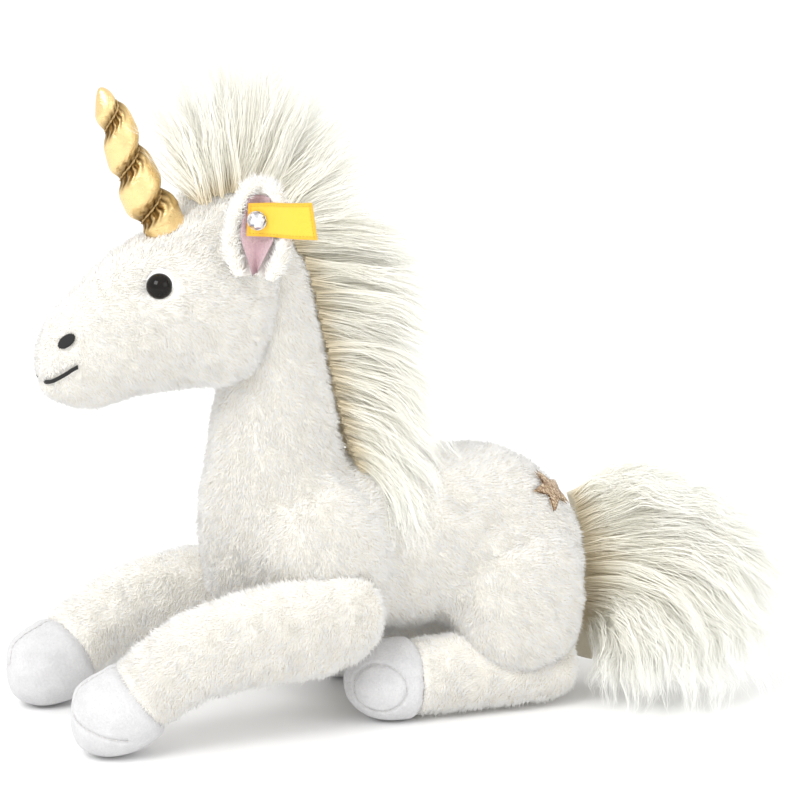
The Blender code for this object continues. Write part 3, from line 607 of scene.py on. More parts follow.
def along_path(stations: tuple, count: int = 60, around: int = 40, side_axis: tuple = (1, 0, 0),
               power: float = 2.0) -> Shell:
    """Makes a round-ended body along a path.

    Args:
        stations: centre x, y and z, half width and half height.
        count: rings along the path.
        around: points in each ring.
        side_axis: the direction that the widths are measured in.
        power: 2 for an oval section, more for a squarer one.

    Returns:
        The closed body.
    """
    rows = path_through(np.array(stations, float), count)
    centres = rows[:, :3]
    forward = unit(np.gradient(centres, axis=0))
    side = np.array(side_axis, float) - forward * (forward @ np.array(side_axis, float))[:, None]
    side = unit(side)
    up = np.cross(side, forward)
    c, s = oval(around, power)
    rings = (centres[:, None] + side[:, None] * rows[:, 3, None, None] * c[None, :, None]
             + up[:, None] * rows[:, 4, None, None] * s[None, :, None])
    return through_rings(rings)


def ball(centre: tuple, radii: tuple) -> Shell:
    """An egg with a radius along each axis."""
    tall = np.linspace(0.03, math.pi - 0.03, 16)[:, None]
    c, s = oval(32)
    rings = np.stack([radii[0] * (np.sin(tall) * c), radii[1] * (np.sin(tall) * s),
                      np.repeat(radii[2] * np.cos(tall), 32, axis=1)], axis=2)
    return through_rings(np.array(centre, float) + rings)


def mesh_object(name: str, shell: Shell, finish: Finish | None = None) -> bpy.types.Object:
    """Makes an object whose mesh holds the shell in the shared frame.

    Args:
        name: the object's name.
        shell: the points and faces, in millimetres.
        finish: its surface.

    Returns:
        The object, at the origin.
    """
    mesh = bpy.data.meshes.new(name)
    mesh.from_pydata(place(shell.points).tolist(), [], shell.faces)
    tidy = bmesh.new()
    tidy.from_mesh(mesh)
    bmesh.ops.recalc_face_normals(tidy, faces=tidy.faces)
    tidy.to_mesh(mesh)
    tidy.free()
    mesh.shade_smooth()
    obj = bpy.data.objects.new(name, mesh)
    bpy.context.scene.collection.objects.link(obj)
    if finish:
        mesh.materials.append(finish.make())
    return obj


def bake(obj: bpy.types.Object) -> None:
    """Turns an object's modifiers into its mesh."""
    bpy.context.view_layer.update()
    graph = bpy.context.evaluated_depsgraph_get()
    mesh = bpy.data.meshes.new_from_object(obj.evaluated_get(graph))
    obj.modifiers.clear()
    obj.data = mesh
    mesh.name = obj.name


def places_of(obj: bpy.types.Object) -> np.ndarray:
    """The mesh's points in the drawing's millimetres."""
    flat = np.empty(len(obj.data.vertices) * 3, np.float32)
    obj.data.vertices.foreach_get("co", flat)
    return flat.reshape(-1, 3) / MM + CENTRE


def middles_of(obj: bpy.types.Object) -> np.ndarray:
    """The middle of each of the mesh's faces, in the drawing's millimetres."""
    points = places_of(obj)
    return np.array([np.mean([points[i] for i in p.vertices], axis=0) for p in obj.data.polygons])


def normals_of(obj: bpy.types.Object) -> np.ndarray:
    """The mesh's point normals."""
    flat = np.empty(len(obj.data.vertices) * 3, np.float32)
    obj.data.vertex_normals.foreach_get("vector", flat)
    return flat.reshape(-1, 3)


def move_to(obj: bpy.types.Object, points: np.ndarray) -> None:
    """Puts the mesh's points at places of the drawing."""
    obj.data.vertices.foreach_set("co", place(points).astype(np.float32).ravel())
    obj.data.update()


def lift_off_floor(obj: bpy.types.Object, height: float) -> None:
    """Raises every point of the mesh that lies lower than a height, in millimetres."""
    points = places_of(obj)
    points[:, 2] = np.maximum(points[:, 2], height)
    move_to(obj, points)


def store(obj: bpy.types.Object, name: str, values: np.ndarray) -> None:
    """Stores a number or a vector on each point of the mesh."""
    kind = "FLOAT_VECTOR" if values.ndim == 2 else "FLOAT"
    made = obj.data.attributes.get(name) or obj.data.attributes.new(name, kind, "POINT")
    made.data.foreach_set("vector" if values.ndim == 2 else "value", values.astype(np.float32).ravel())


def merged(name: str, shells: list[Shell], finish: Finish, voxel: float, softening: int,
           inset: float = 0.0) -> bpy.types.Object:
    """Melts closed shells into one skin.

    Args:
        name: the object's name.
        shells: bodies that overlap.
        finish: its surface.
        voxel: the grid, in millimetres.
        softening: how many times the joins are smoothed.
        inset: how far the skin lies under the pile's outline.

    Returns:
        The skin.
    """
    obj = mesh_object(name, join(shells), finish)
    remesh = obj.modifiers.new("melt", "REMESH")
    remesh.mode = "VOXEL"
    remesh.voxel_size = voxel * MM
    remesh.use_smooth_shade = True
    soften = obj.modifiers.new("soften", "SMOOTH")
    soften.factor = 0.5
    soften.iterations = softening
    bake(obj)
    move_to(obj, places_of(obj) - normals_of(obj) * inset)
    return obj


def swell(obj: bpy.types.Object, pressure: float, cap: float, frames: int = 20) -> None:
    """Fills a closed skin by pressing cloth from inside, each point held within the cap.

    Args:
        obj: the skin.
        pressure: the filling's push.
        cap: how far a point may move, in millimetres.
        frames: how long the cloth is pressed.
    """
    start = places_of(obj)
    cloth = obj.modifiers.new("filling", "CLOTH")
    cloth.settings.use_pressure = True
    cloth.settings.uniform_pressure_force = pressure
    cloth.settings.effector_weights.gravity = 0
    cloth.settings.quality = 4
    cloth.settings.mass = 0.02
    cloth.point_cache.frame_start, cloth.point_cache.frame_end = 1, frames
    scene = bpy.context.scene
    for step in range(1, frames + 1):
        scene.frame_set(step)
    made = obj.evaluated_get(bpy.context.evaluated_depsgraph_get())
    flat = np.empty(len(made.data.vertices) * 3, np.float32)
    made.data.vertices.foreach_get("co", flat)
    move = flat.reshape(-1, 3) / MM + CENTRE - start
    obj.modifiers.clear()
    scene.frame_set(1)
    length = np.linalg.norm(move, axis=1, keepdims=True)
    LOG.info("%s: cloth moved up to %.2f mm, %.2f mm on average", obj.name, length.max(), length.mean())
    move_to(obj, start + move * np.minimum(1.0, cap / np.maximum(length, 1e-6)))


def refine(obj: bpy.types.Object) -> None:
    """Divides the mesh smoothly, once."""
    fine = obj.modifiers.new("fine", "SUBSURF")
    fine.levels = fine.render_levels = 1
    bake(obj)


def press_crease(obj: bpy.types.Object, path: tuple, depth: float, width: float, both: bool = True) -> None:
    """Draws a sewn crease into a skin.

    Args:
        obj: the skin.
        path: the crease's places, in millimetres, on the left side.
        depth: how deep it goes.
        width: how wide its sides are.
        both: whether the right side has one too.
    """
    points = places_of(obj)
    inward = -normals_of(obj)
    for side in ((1, -1) if both else (1,)):
        line = path_through(np.array(path, float) * (side, 1, 1), 60)
        far = np.min(np.linalg.norm(points[:, None] - line[None], axis=2), axis=1)
        points = points + inward * (depth * np.exp(-(far / width) ** 2))[:, None]
    move_to(obj, points)


def surface_of(obj: bpy.types.Object) -> BVHTree:
    """A tree of the mesh's faces, in metres, for finding places on it."""
    return BVHTree.FromPolygons([v.co for v in obj.data.vertices],
                                [tuple(p.vertices) for p in obj.data.polygons])


def seat(tree: BVHTree, point: np.ndarray) -> tuple[np.ndarray, np.ndarray]:
    """The place on a surface nearest to a point of the drawing, and the way out of it."""
    where, out, _, _ = tree.find_nearest(Vector(place(point)))
    return np.array(where) / MM + CENTRE, np.array(out)


def buried(points: np.ndarray, others: list[bpy.types.Object], depth: float) -> np.ndarray:
    """Says which points lie deeper than a depth inside any of the other skins."""
    hidden = np.zeros(len(points), bool)
    for other in others:
        tree = surface_of(other)
        low, high = places_of(other).min(axis=0), places_of(other).max(axis=0)
        near = np.where(np.all((points > low + depth) & (points < high - depth), axis=1))[0]
        for i in near:
            where, out, _, far = tree.find_nearest(Vector(place(points[i])))
            if far > depth * MM and (Vector(place(points[i])) - where).dot(out) < 0:
                hidden[i] = True
    return hidden


# Geometry node tools

@dataclass
class Tool:
    """A node tree that works on one object's geometry, with named inputs."""

    name: str
    tree: bpy.types.NodeTree = field(init=False)
    graph: Graph = field(init=False)
    given: Wire = field(init=False)

    def __post_init__(self) -> None:
        """Makes the tree with its geometry in and out."""
        self.tree = bpy.data.node_groups.new(self.name, "GeometryNodeTree")
        self.tree.interface.new_socket("Geometry", in_out="INPUT", socket_type="NodeSocketGeometry")
        self.tree.interface.new_socket("Geometry", in_out="OUTPUT", socket_type="NodeSocketGeometry")
        self.graph = Graph(self.tree)

    def inputs(self, **kinds: tuple) -> dict[str, Wire]:
        """Adds named inputs.

        Args:
            kinds: each input's socket type and starting value.

        Returns:
            A wire from each input.
        """
        for name, (kind, value) in kinds.items():
            socket = self.tree.interface.new_socket(name, in_out="INPUT", socket_type=f"NodeSocket{kind}")
            if value is not None:
                socket.default_value = value
        entry = self.tree.nodes.new("NodeGroupInput")
        self.given = Wire(self.graph, entry.outputs["Geometry"])
        return {name: Wire(self.graph, entry.outputs[name]) for name in kinds}

    def ends_in(self, shape: Wire, material: Wire) -> None:
        """Closes the tree: real geometry with its material."""
        real = self.graph.wire("GeometryNodeRealizeInstances", None, {0: shape})
        smooth = self.graph.wire("GeometryNodeSetShadeSmooth", None, {0: real, "Shade Smooth": True})
        painted = self.graph.wire("GeometryNodeSetMaterial", None, {0: smooth, "Material": material})
        self.graph.node("NodeGroupOutput", None, {0: painted})

    def apply(self, name: str, source: bpy.types.Mesh, **values: object) -> bpy.types.Object:
        """Runs the tree on a mesh and keeps what it makes as a plain mesh.

        Args:
            name: the new object's name.
            source: the mesh that the tree reads.
            values: the inputs, by name.

        Returns:
            The new object.
        """
        obj = bpy.data.objects.new(name, source)
        bpy.context.scene.collection.objects.link(obj)
        modifier = obj.modifiers.new(self.name, "NODES")
        modifier.node_group = self.tree
        for item in self.tree.interface.items_tree:
            if item.item_type == "SOCKET" and item.in_out == "INPUT" and item.name in values:
                modifier[item.identifier] = values[item.name]
        bake(obj)
        return obj


def random_between(graph: Graph, low: float, high: float, seed: object) -> Wire:
    """A random number for each element."""
    return graph.wire("FunctionNodeRandomValue", {"data_type": "FLOAT"},
                      {2: low, 3: high, "Seed": seed}, 1)


def random_step(graph: Graph, reach: float, seed: object) -> Wire:
    """A random vector for each element, each coordinate within the reach."""
    return graph.wire("FunctionNodeRandomValue", {"data_type": "FLOAT_VECTOR"},
                      {0: (-reach,) * 3, 1: (reach,) * 3, "Seed": seed}, 0)


def stored(graph: Graph, name: str, kind: str) -> Wire:
    """Reads an attribute stored on the geometry."""
    return graph.wire("GeometryNodeInputNamedAttribute", {"data_type": kind}, {"Name": name}, 0)


def keep(graph: Graph, shape: Wire, name: str, value: Wire, domain: str, kind: str = "FLOAT") -> Wire:
    """Stores a value on the geometry under a name."""
    return graph.wire("GeometryNodeStoreNamedAttribute", {"data_type": kind, "domain": domain},
                      {0: shape, "Name": name, "Value": value})


def pile_tool() -> Tool:
    """Builds the tool that sows short tapered tufts over a skin.

    Returns:
        A tool whose tufts follow the skin's "comb" and are as long as its "pile" says.
    """
    tool = Tool("sow_pile")
    graph = tool.graph
    given = tool.inputs(Length=("Float", 0.0031), Width=("Float", 0.00024), Density=("Float", 3.4e6),
                        Lean=("Float", 1.0), Seed=("Int", 1), Material=("Material", None))
    pile = stored(graph, "pile", "FLOAT")
    scatter = graph.node("GeometryNodeDistributePointsOnFaces", None, {
        "Mesh": tool.given, "Density": given["Density"] * (pile > 0.06), "Seed": given["Seed"]})
    points = Wire(graph, scatter.outputs["Points"])
    out = Wire(graph, scatter.outputs["Normal"])
    points = keep(graph, points, "tint", random_between(graph, 0.0, 1.0, given["Seed"] + 3), "POINT")
    where = graph.wire("GeometryNodeInputPosition")
    swirl = graph.wire("ShaderNodeTexNoise", None, {"Vector": where, "Scale": 170.0, "Detail": 2.0}, 1)
    clump = graph.wire("ShaderNodeTexNoise", None, {"Vector": where, "Scale": 300.0, "Detail": 2.0})
    swirl = graph.vector("SUBTRACT", swirl, (0.5, 0.5, 0.5))
    comb = graph.vector("SCALE", stored(graph, "comb", "FLOAT_VECTOR"), scale=given["Lean"])
    way = graph.vector("ADD", out, comb)
    way = graph.vector("ADD", way, graph.vector("SCALE", swirl, scale=3.2))
    way = graph.vector("ADD", way, random_step(graph, 0.5, given["Seed"] + 5))
    turn = graph.wire("FunctionNodeAlignRotationToVector", {"axis": "Z"}, {"Vector": way})
    cone = graph.wire("GeometryNodeMeshCone", {"fill_type": "NONE"}, {
        "Vertices": 3, "Side Segments": 1, "Radius Top": 0.0, "Radius Bottom": 1.0, "Depth": 1.0})
    height = graph.node("ShaderNodeSeparateXYZ", None, {0: where})
    cone = keep(graph, cone, "along", Wire(graph, height.outputs["Z"]), "POINT")
    long = given["Length"] * pile * random_between(graph, 0.62, 1.08, given["Seed"] + 7) \
        * (0.55 + clump * 0.95)
    wide = given["Width"] * random_between(graph, 0.7, 1.3, given["Seed"] + 9)
    size = graph.wire("ShaderNodeCombineXYZ", None, {0: wide, 1: wide, 2: long})
    tufts = graph.wire("GeometryNodeInstanceOnPoints", None, {
        "Points": points, "Instance": cone, "Rotation": turn, "Scale": size})
    tool.ends_in(tufts, given["Material"])
    return tool


def hair_tool() -> Tool:
    """Builds the tool that turns each guide line into a lock of tapering strands.

    Returns:
        A tool that reads the guides' "spread" as the lock's radius at each point.
    """
    tool = Tool("grow_hair")
    graph = tool.graph
    given = tool.inputs(Strands=("Int", 20), Width=("Float", 0.0004), Wave=("Float", 0.002),
                        Stray=("Float", 0.15), Seed=("Int", 1), Material=("Material", None))
    guides = graph.wire("GeometryNodeMeshToCurve", None, {0: tool.given})
    many = graph.wire("GeometryNodeDuplicateElements", {"domain": "SPLINE"},
                      {0: guides, "Amount": given["Strands"]})
    many = keep(graph, many, "strand", random_step(graph, 1.0, given["Seed"]), "CURVE", "FLOAT_VECTOR")
    strand = stored(graph, "strand", "FLOAT_VECTOR")
    parts = graph.node("ShaderNodeSeparateXYZ", None, {0: strand})
    across, over, luck = (Wire(graph, parts.outputs[i]) for i in range(3))
    factor = graph.wire("GeometryNodeSplineParameter")
    many = keep(graph, many, "along", factor, "POINT")
    many = keep(graph, many, "tint", luck * 0.5 + 0.5, "POINT")
    normal = graph.wire("GeometryNodeInputNormal")
    tangent = graph.wire("GeometryNodeInputTangent")
    beside = graph.vector("CROSS_PRODUCT", tangent, normal)
    fan = stored(graph, "spread", "FLOAT") * (1 + factor * factor * given["Stray"] * luck * 6)
    step = graph.vector("ADD", graph.vector("SCALE", normal, scale=across * fan),
                        graph.vector("SCALE", beside, scale=over * fan))
    where = graph.wire("GeometryNodeInputPosition")
    nearby = graph.vector("ADD", where, graph.vector("SCALE", strand, scale=0.0032))
    sway = graph.wire("ShaderNodeTexNoise", None, {"Vector": nearby, "Scale": 75.0, "Detail": 1.5}, 1)
    sway = graph.vector("SCALE", graph.vector("SUBTRACT", sway, (0.5, 0.5, 0.5)),
                        scale=given["Wave"] * factor * 3)
    hair = graph.wire("GeometryNodeSetPosition", None,
                      {0: many, "Offset": graph.vector("ADD", step, sway)})
    hair = graph.wire("GeometryNodeTrimCurve", {"mode": "FACTOR"},
                      {0: hair, 2: 0.0, 3: 1.0 - (luck * 0.5 + 0.5) * 0.2})
    hair = graph.wire("GeometryNodeSetCurveTilt", None, {0: hair, "Tilt": across * 3.0 + factor * 2.0})
    tip = graph.wire("GeometryNodeSplineParameter")
    taper = given["Width"] * (1.0 - tip ** 2.2 * 0.9) * (0.85 + luck * 0.3)
    flat = graph.wire("GeometryNodeCurvePrimitiveLine", None, {0: (-0.5, 0, 0), 1: (0.5, 0, 0)})
    mesh = graph.wire("GeometryNodeCurveToMesh", None,
                      {"Curve": hair, "Profile Curve": flat, "Scale": taper})
    tool.ends_in(mesh, given["Material"])
    return tool


def stitch_tool() -> Tool:
    """Builds the tool that lays round-ended stitches along lines.

    Returns:
        A tool whose stitches lie along the line, or across it.
    """
    tool = Tool("lay_stitches")
    graph = tool.graph
    given = tool.inputs(Pitch=("Float", 0.001), Length=("Float", 0.0008), Radius=("Float", 0.0002),
                        Across=("Float", 0.0), Material=("Material", None))
    line = graph.wire("GeometryNodeMeshToCurve", None, {0: tool.given})
    spots = graph.node("GeometryNodeCurveToPoints", {"mode": "LENGTH"},
                       {"Curve": line, "Length": given["Pitch"]})
    tangent = Wire(graph, spots.outputs["Tangent"])
    beside = graph.vector("CROSS_PRODUCT", stored(graph, "out", "FLOAT_VECTOR"), tangent)
    way = graph.vector("ADD", graph.vector("SCALE", tangent, scale=1.0 - given["Across"]),
                       graph.vector("SCALE", beside, scale=given["Across"]))
    turn = graph.wire("FunctionNodeAlignRotationToVector", {"axis": "Z"}, {"Vector": way})
    grain = graph.wire("GeometryNodeMeshUVSphere", None, {"Segments": 8, "Rings": 6, "Radius": 1.0})
    grain = keep(graph, grain, "tint", graph.wire("GeometryNodeInputIndex") * 0.01, "POINT")
    size = graph.wire("ShaderNodeCombineXYZ", None,
                      {0: given["Radius"], 1: given["Radius"], 2: given["Length"] * 0.5})
    stitches = graph.wire("GeometryNodeInstanceOnPoints", None, {
        "Points": Wire(graph, spots.outputs["Points"]), "Instance": grain, "Rotation": turn,
        "Scale": size})
    tool.ends_in(stitches, given["Material"])
    return tool


def line_mesh(name: str, lines: list[np.ndarray], extra: dict[str, np.ndarray]) -> bpy.types.Mesh:
    """Makes a mesh of open lines.

    Args:
        name: the mesh's name.
        lines: each line's places, in millimetres.
        extra: values to store on the points, by name.

    Returns:
        The mesh of edges.
    """
    edges, start = [], 0
    for line in lines:
        edges += [(start + i, start + i + 1) for i in range(len(line) - 1)]
        start += len(line)
    mesh = bpy.data.meshes.new(name)
    mesh.from_pydata(place(np.concatenate(lines)).tolist(), edges, [])
    holder = bpy.data.objects.new(name, mesh)
    for key, values in extra.items():
        store(holder, key, values)
    bpy.data.objects.remove(holder)
    return mesh


@dataclass
class Workshop:
    """The tools and the counting that every sub-assembly shares."""

    pile: Tool = field(default_factory=pile_tool)
    hair: Tool = field(default_factory=hair_tool)
    stitch: Tool = field(default_factory=stitch_tool)
    made: int = 0

    def report(self, obj: bpy.types.Object) -> bpy.types.Object:
        """Counts the piece's triangles and logs the piece."""
        obj.data.calc_loop_triangles()
        count = len(obj.data.loop_triangles)
        self.made += count
        LOG.info("%s: %d triangles, %d in all", obj.name, count, self.made)
        return obj

    def sow(self, name: str, skin: bpy.types.Object, keep_face: np.ndarray | None = None,
            seed: int = 1, **values: float) -> bpy.types.Object:
        """Sows pile on a skin, or on some of its faces.

        Args:
            name: the pile's name.
            skin: the mesh with "comb" and "pile" stored on it.
            keep_face: which faces carry this piece of pile.
            seed: the draw.
            values: inputs of the pile tool.

        Returns:
            The pile, as a mesh.
        """
        source = skin.data.copy()
        if keep_face is not None:
            cut = bmesh.new()
            cut.from_mesh(source)
            cut.faces.ensure_lookup_table()
            drop = [face for face in cut.faces if not keep_face[face.index]]
            bmesh.ops.delete(cut, geom=drop, context="FACES")
            cut.to_mesh(source)
            cut.free()
        tufts = self.pile.apply(name, source, Seed=seed, Material=PILE.make(), **values)
        lift_off_floor(tufts, 0.1)
        return self.report(tufts)

    def comb(self, skin: bpy.types.Object, flow: np.ndarray, pile: np.ndarray) -> None:
        """Stores how the pile lies on a skin.

        Args:
            skin: the mesh.
            flow: the way that the pile is combed, at each point.
            pile: its share of the full length, at each point.
        """
        out = normals_of(skin)
        flow = flow - out * np.sum(flow * out, axis=1, keepdims=True)
        store(skin, "comb", unit(flow))
        store(skin, "pile", pile)


# Body

class Side(Enum):
    """The animal's two sides, with the sign of X there."""

    LEFT = 1
    RIGHT = -1

    @property
    def word(self) -> str:
        """The side's name in a piece's name."""
        return self.name.lower()


@dataclass
class Torso:
    """The body and the neck in one skin, from the chest to the rump and up to the poll."""

    stations: tuple = (  # Y, top, bottom, half width
        (-73, 64, 53, 6), (-70.5, 71, 45, 13.5), (-66, 76, 38, 18.5), (-56, 81, 31, 22.5),
        (-42, 85, 27, 25.0), (-24, 87, 25.5, 27.5), (-9, 88, 25.5, 30), (2, 88.7, 26, 31.5),
        (15, 89.3, 27, 32), (30, 88.3, 27, 33), (42, 84.3, 27, 32.5), (50, 78.5, 27, 30.5),
        (57, 69, 29, 25.5), (61.5, 59, 35, 15), (63, 53, 41, 6))
    fullness: float = 2.3
    keel: tuple = ((0, -40, 24, 9, 8), (0, -20, 19, 11, 12), (0, 10, 14, 12, 13), (0, 30, 13, 12, 13),
                   (0, 48, 14, 12, 13), (0, 58, 24, 8, 9))
    neck: tuple = (  # X, centre Y, Z, half width, half depth
        (0, -43, 44, 26, 29), (0, -45, 62, 25.2, 30), (0, -46.5, 74, 24.2, 28.6), (0, -46.8, 86, 23, 26.2),
        (0, -47.2, 101, 21.2, 23.6), (0, -47.6, 118, 19.6, 20.4), (0, -48.6, 134, 18.4, 17.6),
        (0, -50, 150, 17, 15.5), (0, -51.5, 160, 13.5, 12.5), (0, -52.5, 166, 6, 6))
    shoulder: tuple = ((22.5, -37, 58), (20.5, 25, 28))
    thigh: tuple = (  # X, Y, Z, half length along Y, half width
        (22.5, 38, 68, 7, 6), (22.8, 37, 62, 15, 12), (23.8, 35, 51, 20.5, 18), (24.5, 33, 38, 23.2, 20.3),
        (25, 32, 26, 22.2, 20.3), (25.2, 32, 18, 18, 17.5), (25, 32, 12, 10, 10))
    haunch: tuple = ((22, 40, 36), (17.5, 16.5, 26))
    thigh_crease: tuple = ((36, 30, 61), (36, 20, 59), (34, 12.5, 53), (33, 8.8, 45), (33, 8.4, 36),
                           (33, 9.5, 27))
    elbow_crease: tuple = ((28, -9, 82), (31, -10.5, 71), (32, -12, 58), (33, -14, 46), (31, -15.5, 34))
    neck_crease: tuple = ((19, -24, 97), (25, -34, 90), (26.5, -47, 80))
    neck_from: float = 90.0  # the pile above here is the neck's
    chest_to: float = -14.0  # and the pile before here is the chest's
    skin: bpy.types.Object = field(init=False)

    def body_shell(self) -> Shell:
        """The barrel of the body, level underneath."""
        where = np.concatenate([np.linspace(-73, -66, 9), np.linspace(-64, 55, 50), np.linspace(56, 63, 9)])
        tables = tuple(tuple((row[0], row[i]) for row in self.stations) for i in (1, 2, 3))
        return through_sections(where, tables, 48, self.fullness)

    def build(self) -> None:
        """Melts the parts together, fills the skin and draws its creases."""
        thigh = along_path(self.thigh, count=50, side_axis=(0, 1, 0), power=2.5)
        haunch = ball(*self.haunch)
        shoulder = ball(*self.shoulder)
        parts = [self.body_shell(), along_path(self.keel), along_path(self.neck), thigh, thigh.mirrored(),
                 haunch, haunch.mirrored(), shoulder, shoulder.mirrored()]
        self.skin = merged("body_and_neck_skin", parts, PLUSH, voxel=3.0, softening=3, inset=2.6)
        swell(self.skin, pressure=4.0, cap=1.2)
        refine(self.skin)
        for crease, depth, width in ((self.thigh_crease, 3.6, 2.8), (self.elbow_crease, 2.6, 3.8),
                                     (self.neck_crease, 1.8, 4.0)):
            press_crease(self.skin, crease, depth, width)
        lift_off_floor(self.skin, 0.4)

    def dress(self, shop: Workshop, others: list[bpy.types.Object]) -> None:
        """Combs and sows the pile, and bakes skin and pile into the shared frame."""
        points = places_of(self.skin)
        x, y, z = points.T
        flow = np.stack([np.sign(x) * 0.12, 0.25 + 0.6 * (y > -20), -1.0 + 0.25 * (y > -20)], axis=1)
        shop.comb(self.skin, flow, np.where(buried(points, others, 4.5) | (z < 1.2), 0.0, 1.0))
        x, y, z = middles_of(self.skin).T
        zone = np.where(z > self.neck_from, 0, np.where(y < self.chest_to, 1, np.where(x > 0, 2, 3)))
        pieces = [shop.report(self.skin)]
        for i, name in enumerate(("neck_pile", "chest_pile", "left_flank_pile", "right_flank_pile")):
            pieces.append(shop.sow(name, self.skin, zone == i, seed=11 + i))
        for piece in pieces:
            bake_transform(piece)
        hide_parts("torso_cover", "torso_stuffing", "neck_cover", "neck_stuffing")


@dataclass
class Star:
    """A bronze star sewn on the left hip."""

    centre: tuple = (30.0, 53.0, 84.0)
    radius: float = 8.6
    waist: float = 0.44
    lift: float = 3.0
    thickness: float = 0.9

    def build(self, shop: Workshop, skin: bpy.types.Object) -> None:
        """Lays the star's grid on the hip and gives it a thickness."""
        tree = surface_of(skin)
        middle, out = seat(tree, np.array(self.centre))
        side = unit(np.cross((0, 0, 1), out))
        up = np.cross(out, side)
        turn = math.pi * np.arange(11) / 5
        reach = self.radius * np.where(np.arange(11) % 2 == 0, 1.0, self.waist)
        corners = middle + side * (reach * np.sin(turn))[:, None] + up * (reach * np.cos(turn))[:, None]
        outline = np.concatenate([a + (b - a) * np.arange(6)[:, None] / 6
                                  for a, b in zip(corners, corners[1:])])
        rings = middle + (outline - middle) * np.linspace(0.02, 1.0, 9)[:, None, None]
        seated = [seat(tree, p) for p in rings.reshape(-1, 3)]
        top, low = (np.array([p + n * lift for p, n in seated]).reshape(rings.shape)
                    for lift in (self.lift, self.lift - self.thickness))
        star = mesh_object("hip_star", through_rings(np.concatenate([low[::-1], top])), GLITTER)
        shop.report(star)
        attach(star, "torso")
        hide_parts("star_patch")


# Head

HEAD_TOP = ((-129.5, 128), (-128.6, 133), (-126, 140), (-120, 147), (-106, 159.5), (-98, 165),
            (-83, 171), (-75, 176), (-67, 181), (-60, 183), (-53, 179), (-48.5, 170), (-46, 158))
HEAD_BOTTOM = ((-129.5, 122), (-128.6, 118), (-126, 114.5), (-121, 111.5), (-110, 109.5),
               (-103, 111), (-95, 114), (-80, 115), (-70, 116), (-60, 121), (-53, 128),
               (-48.5, 136), (-46, 146))
HEAD_HALF_WIDTH = ((-129.5, 6), (-128.6, 9), (-126, 12), (-121, 15), (-112, 17.3), (-104, 19),
                   (-95, 22.5), (-85, 25.5), (-72, 27), (-60, 26), (-53, 21.5), (-48.5, 15), (-46, 7))


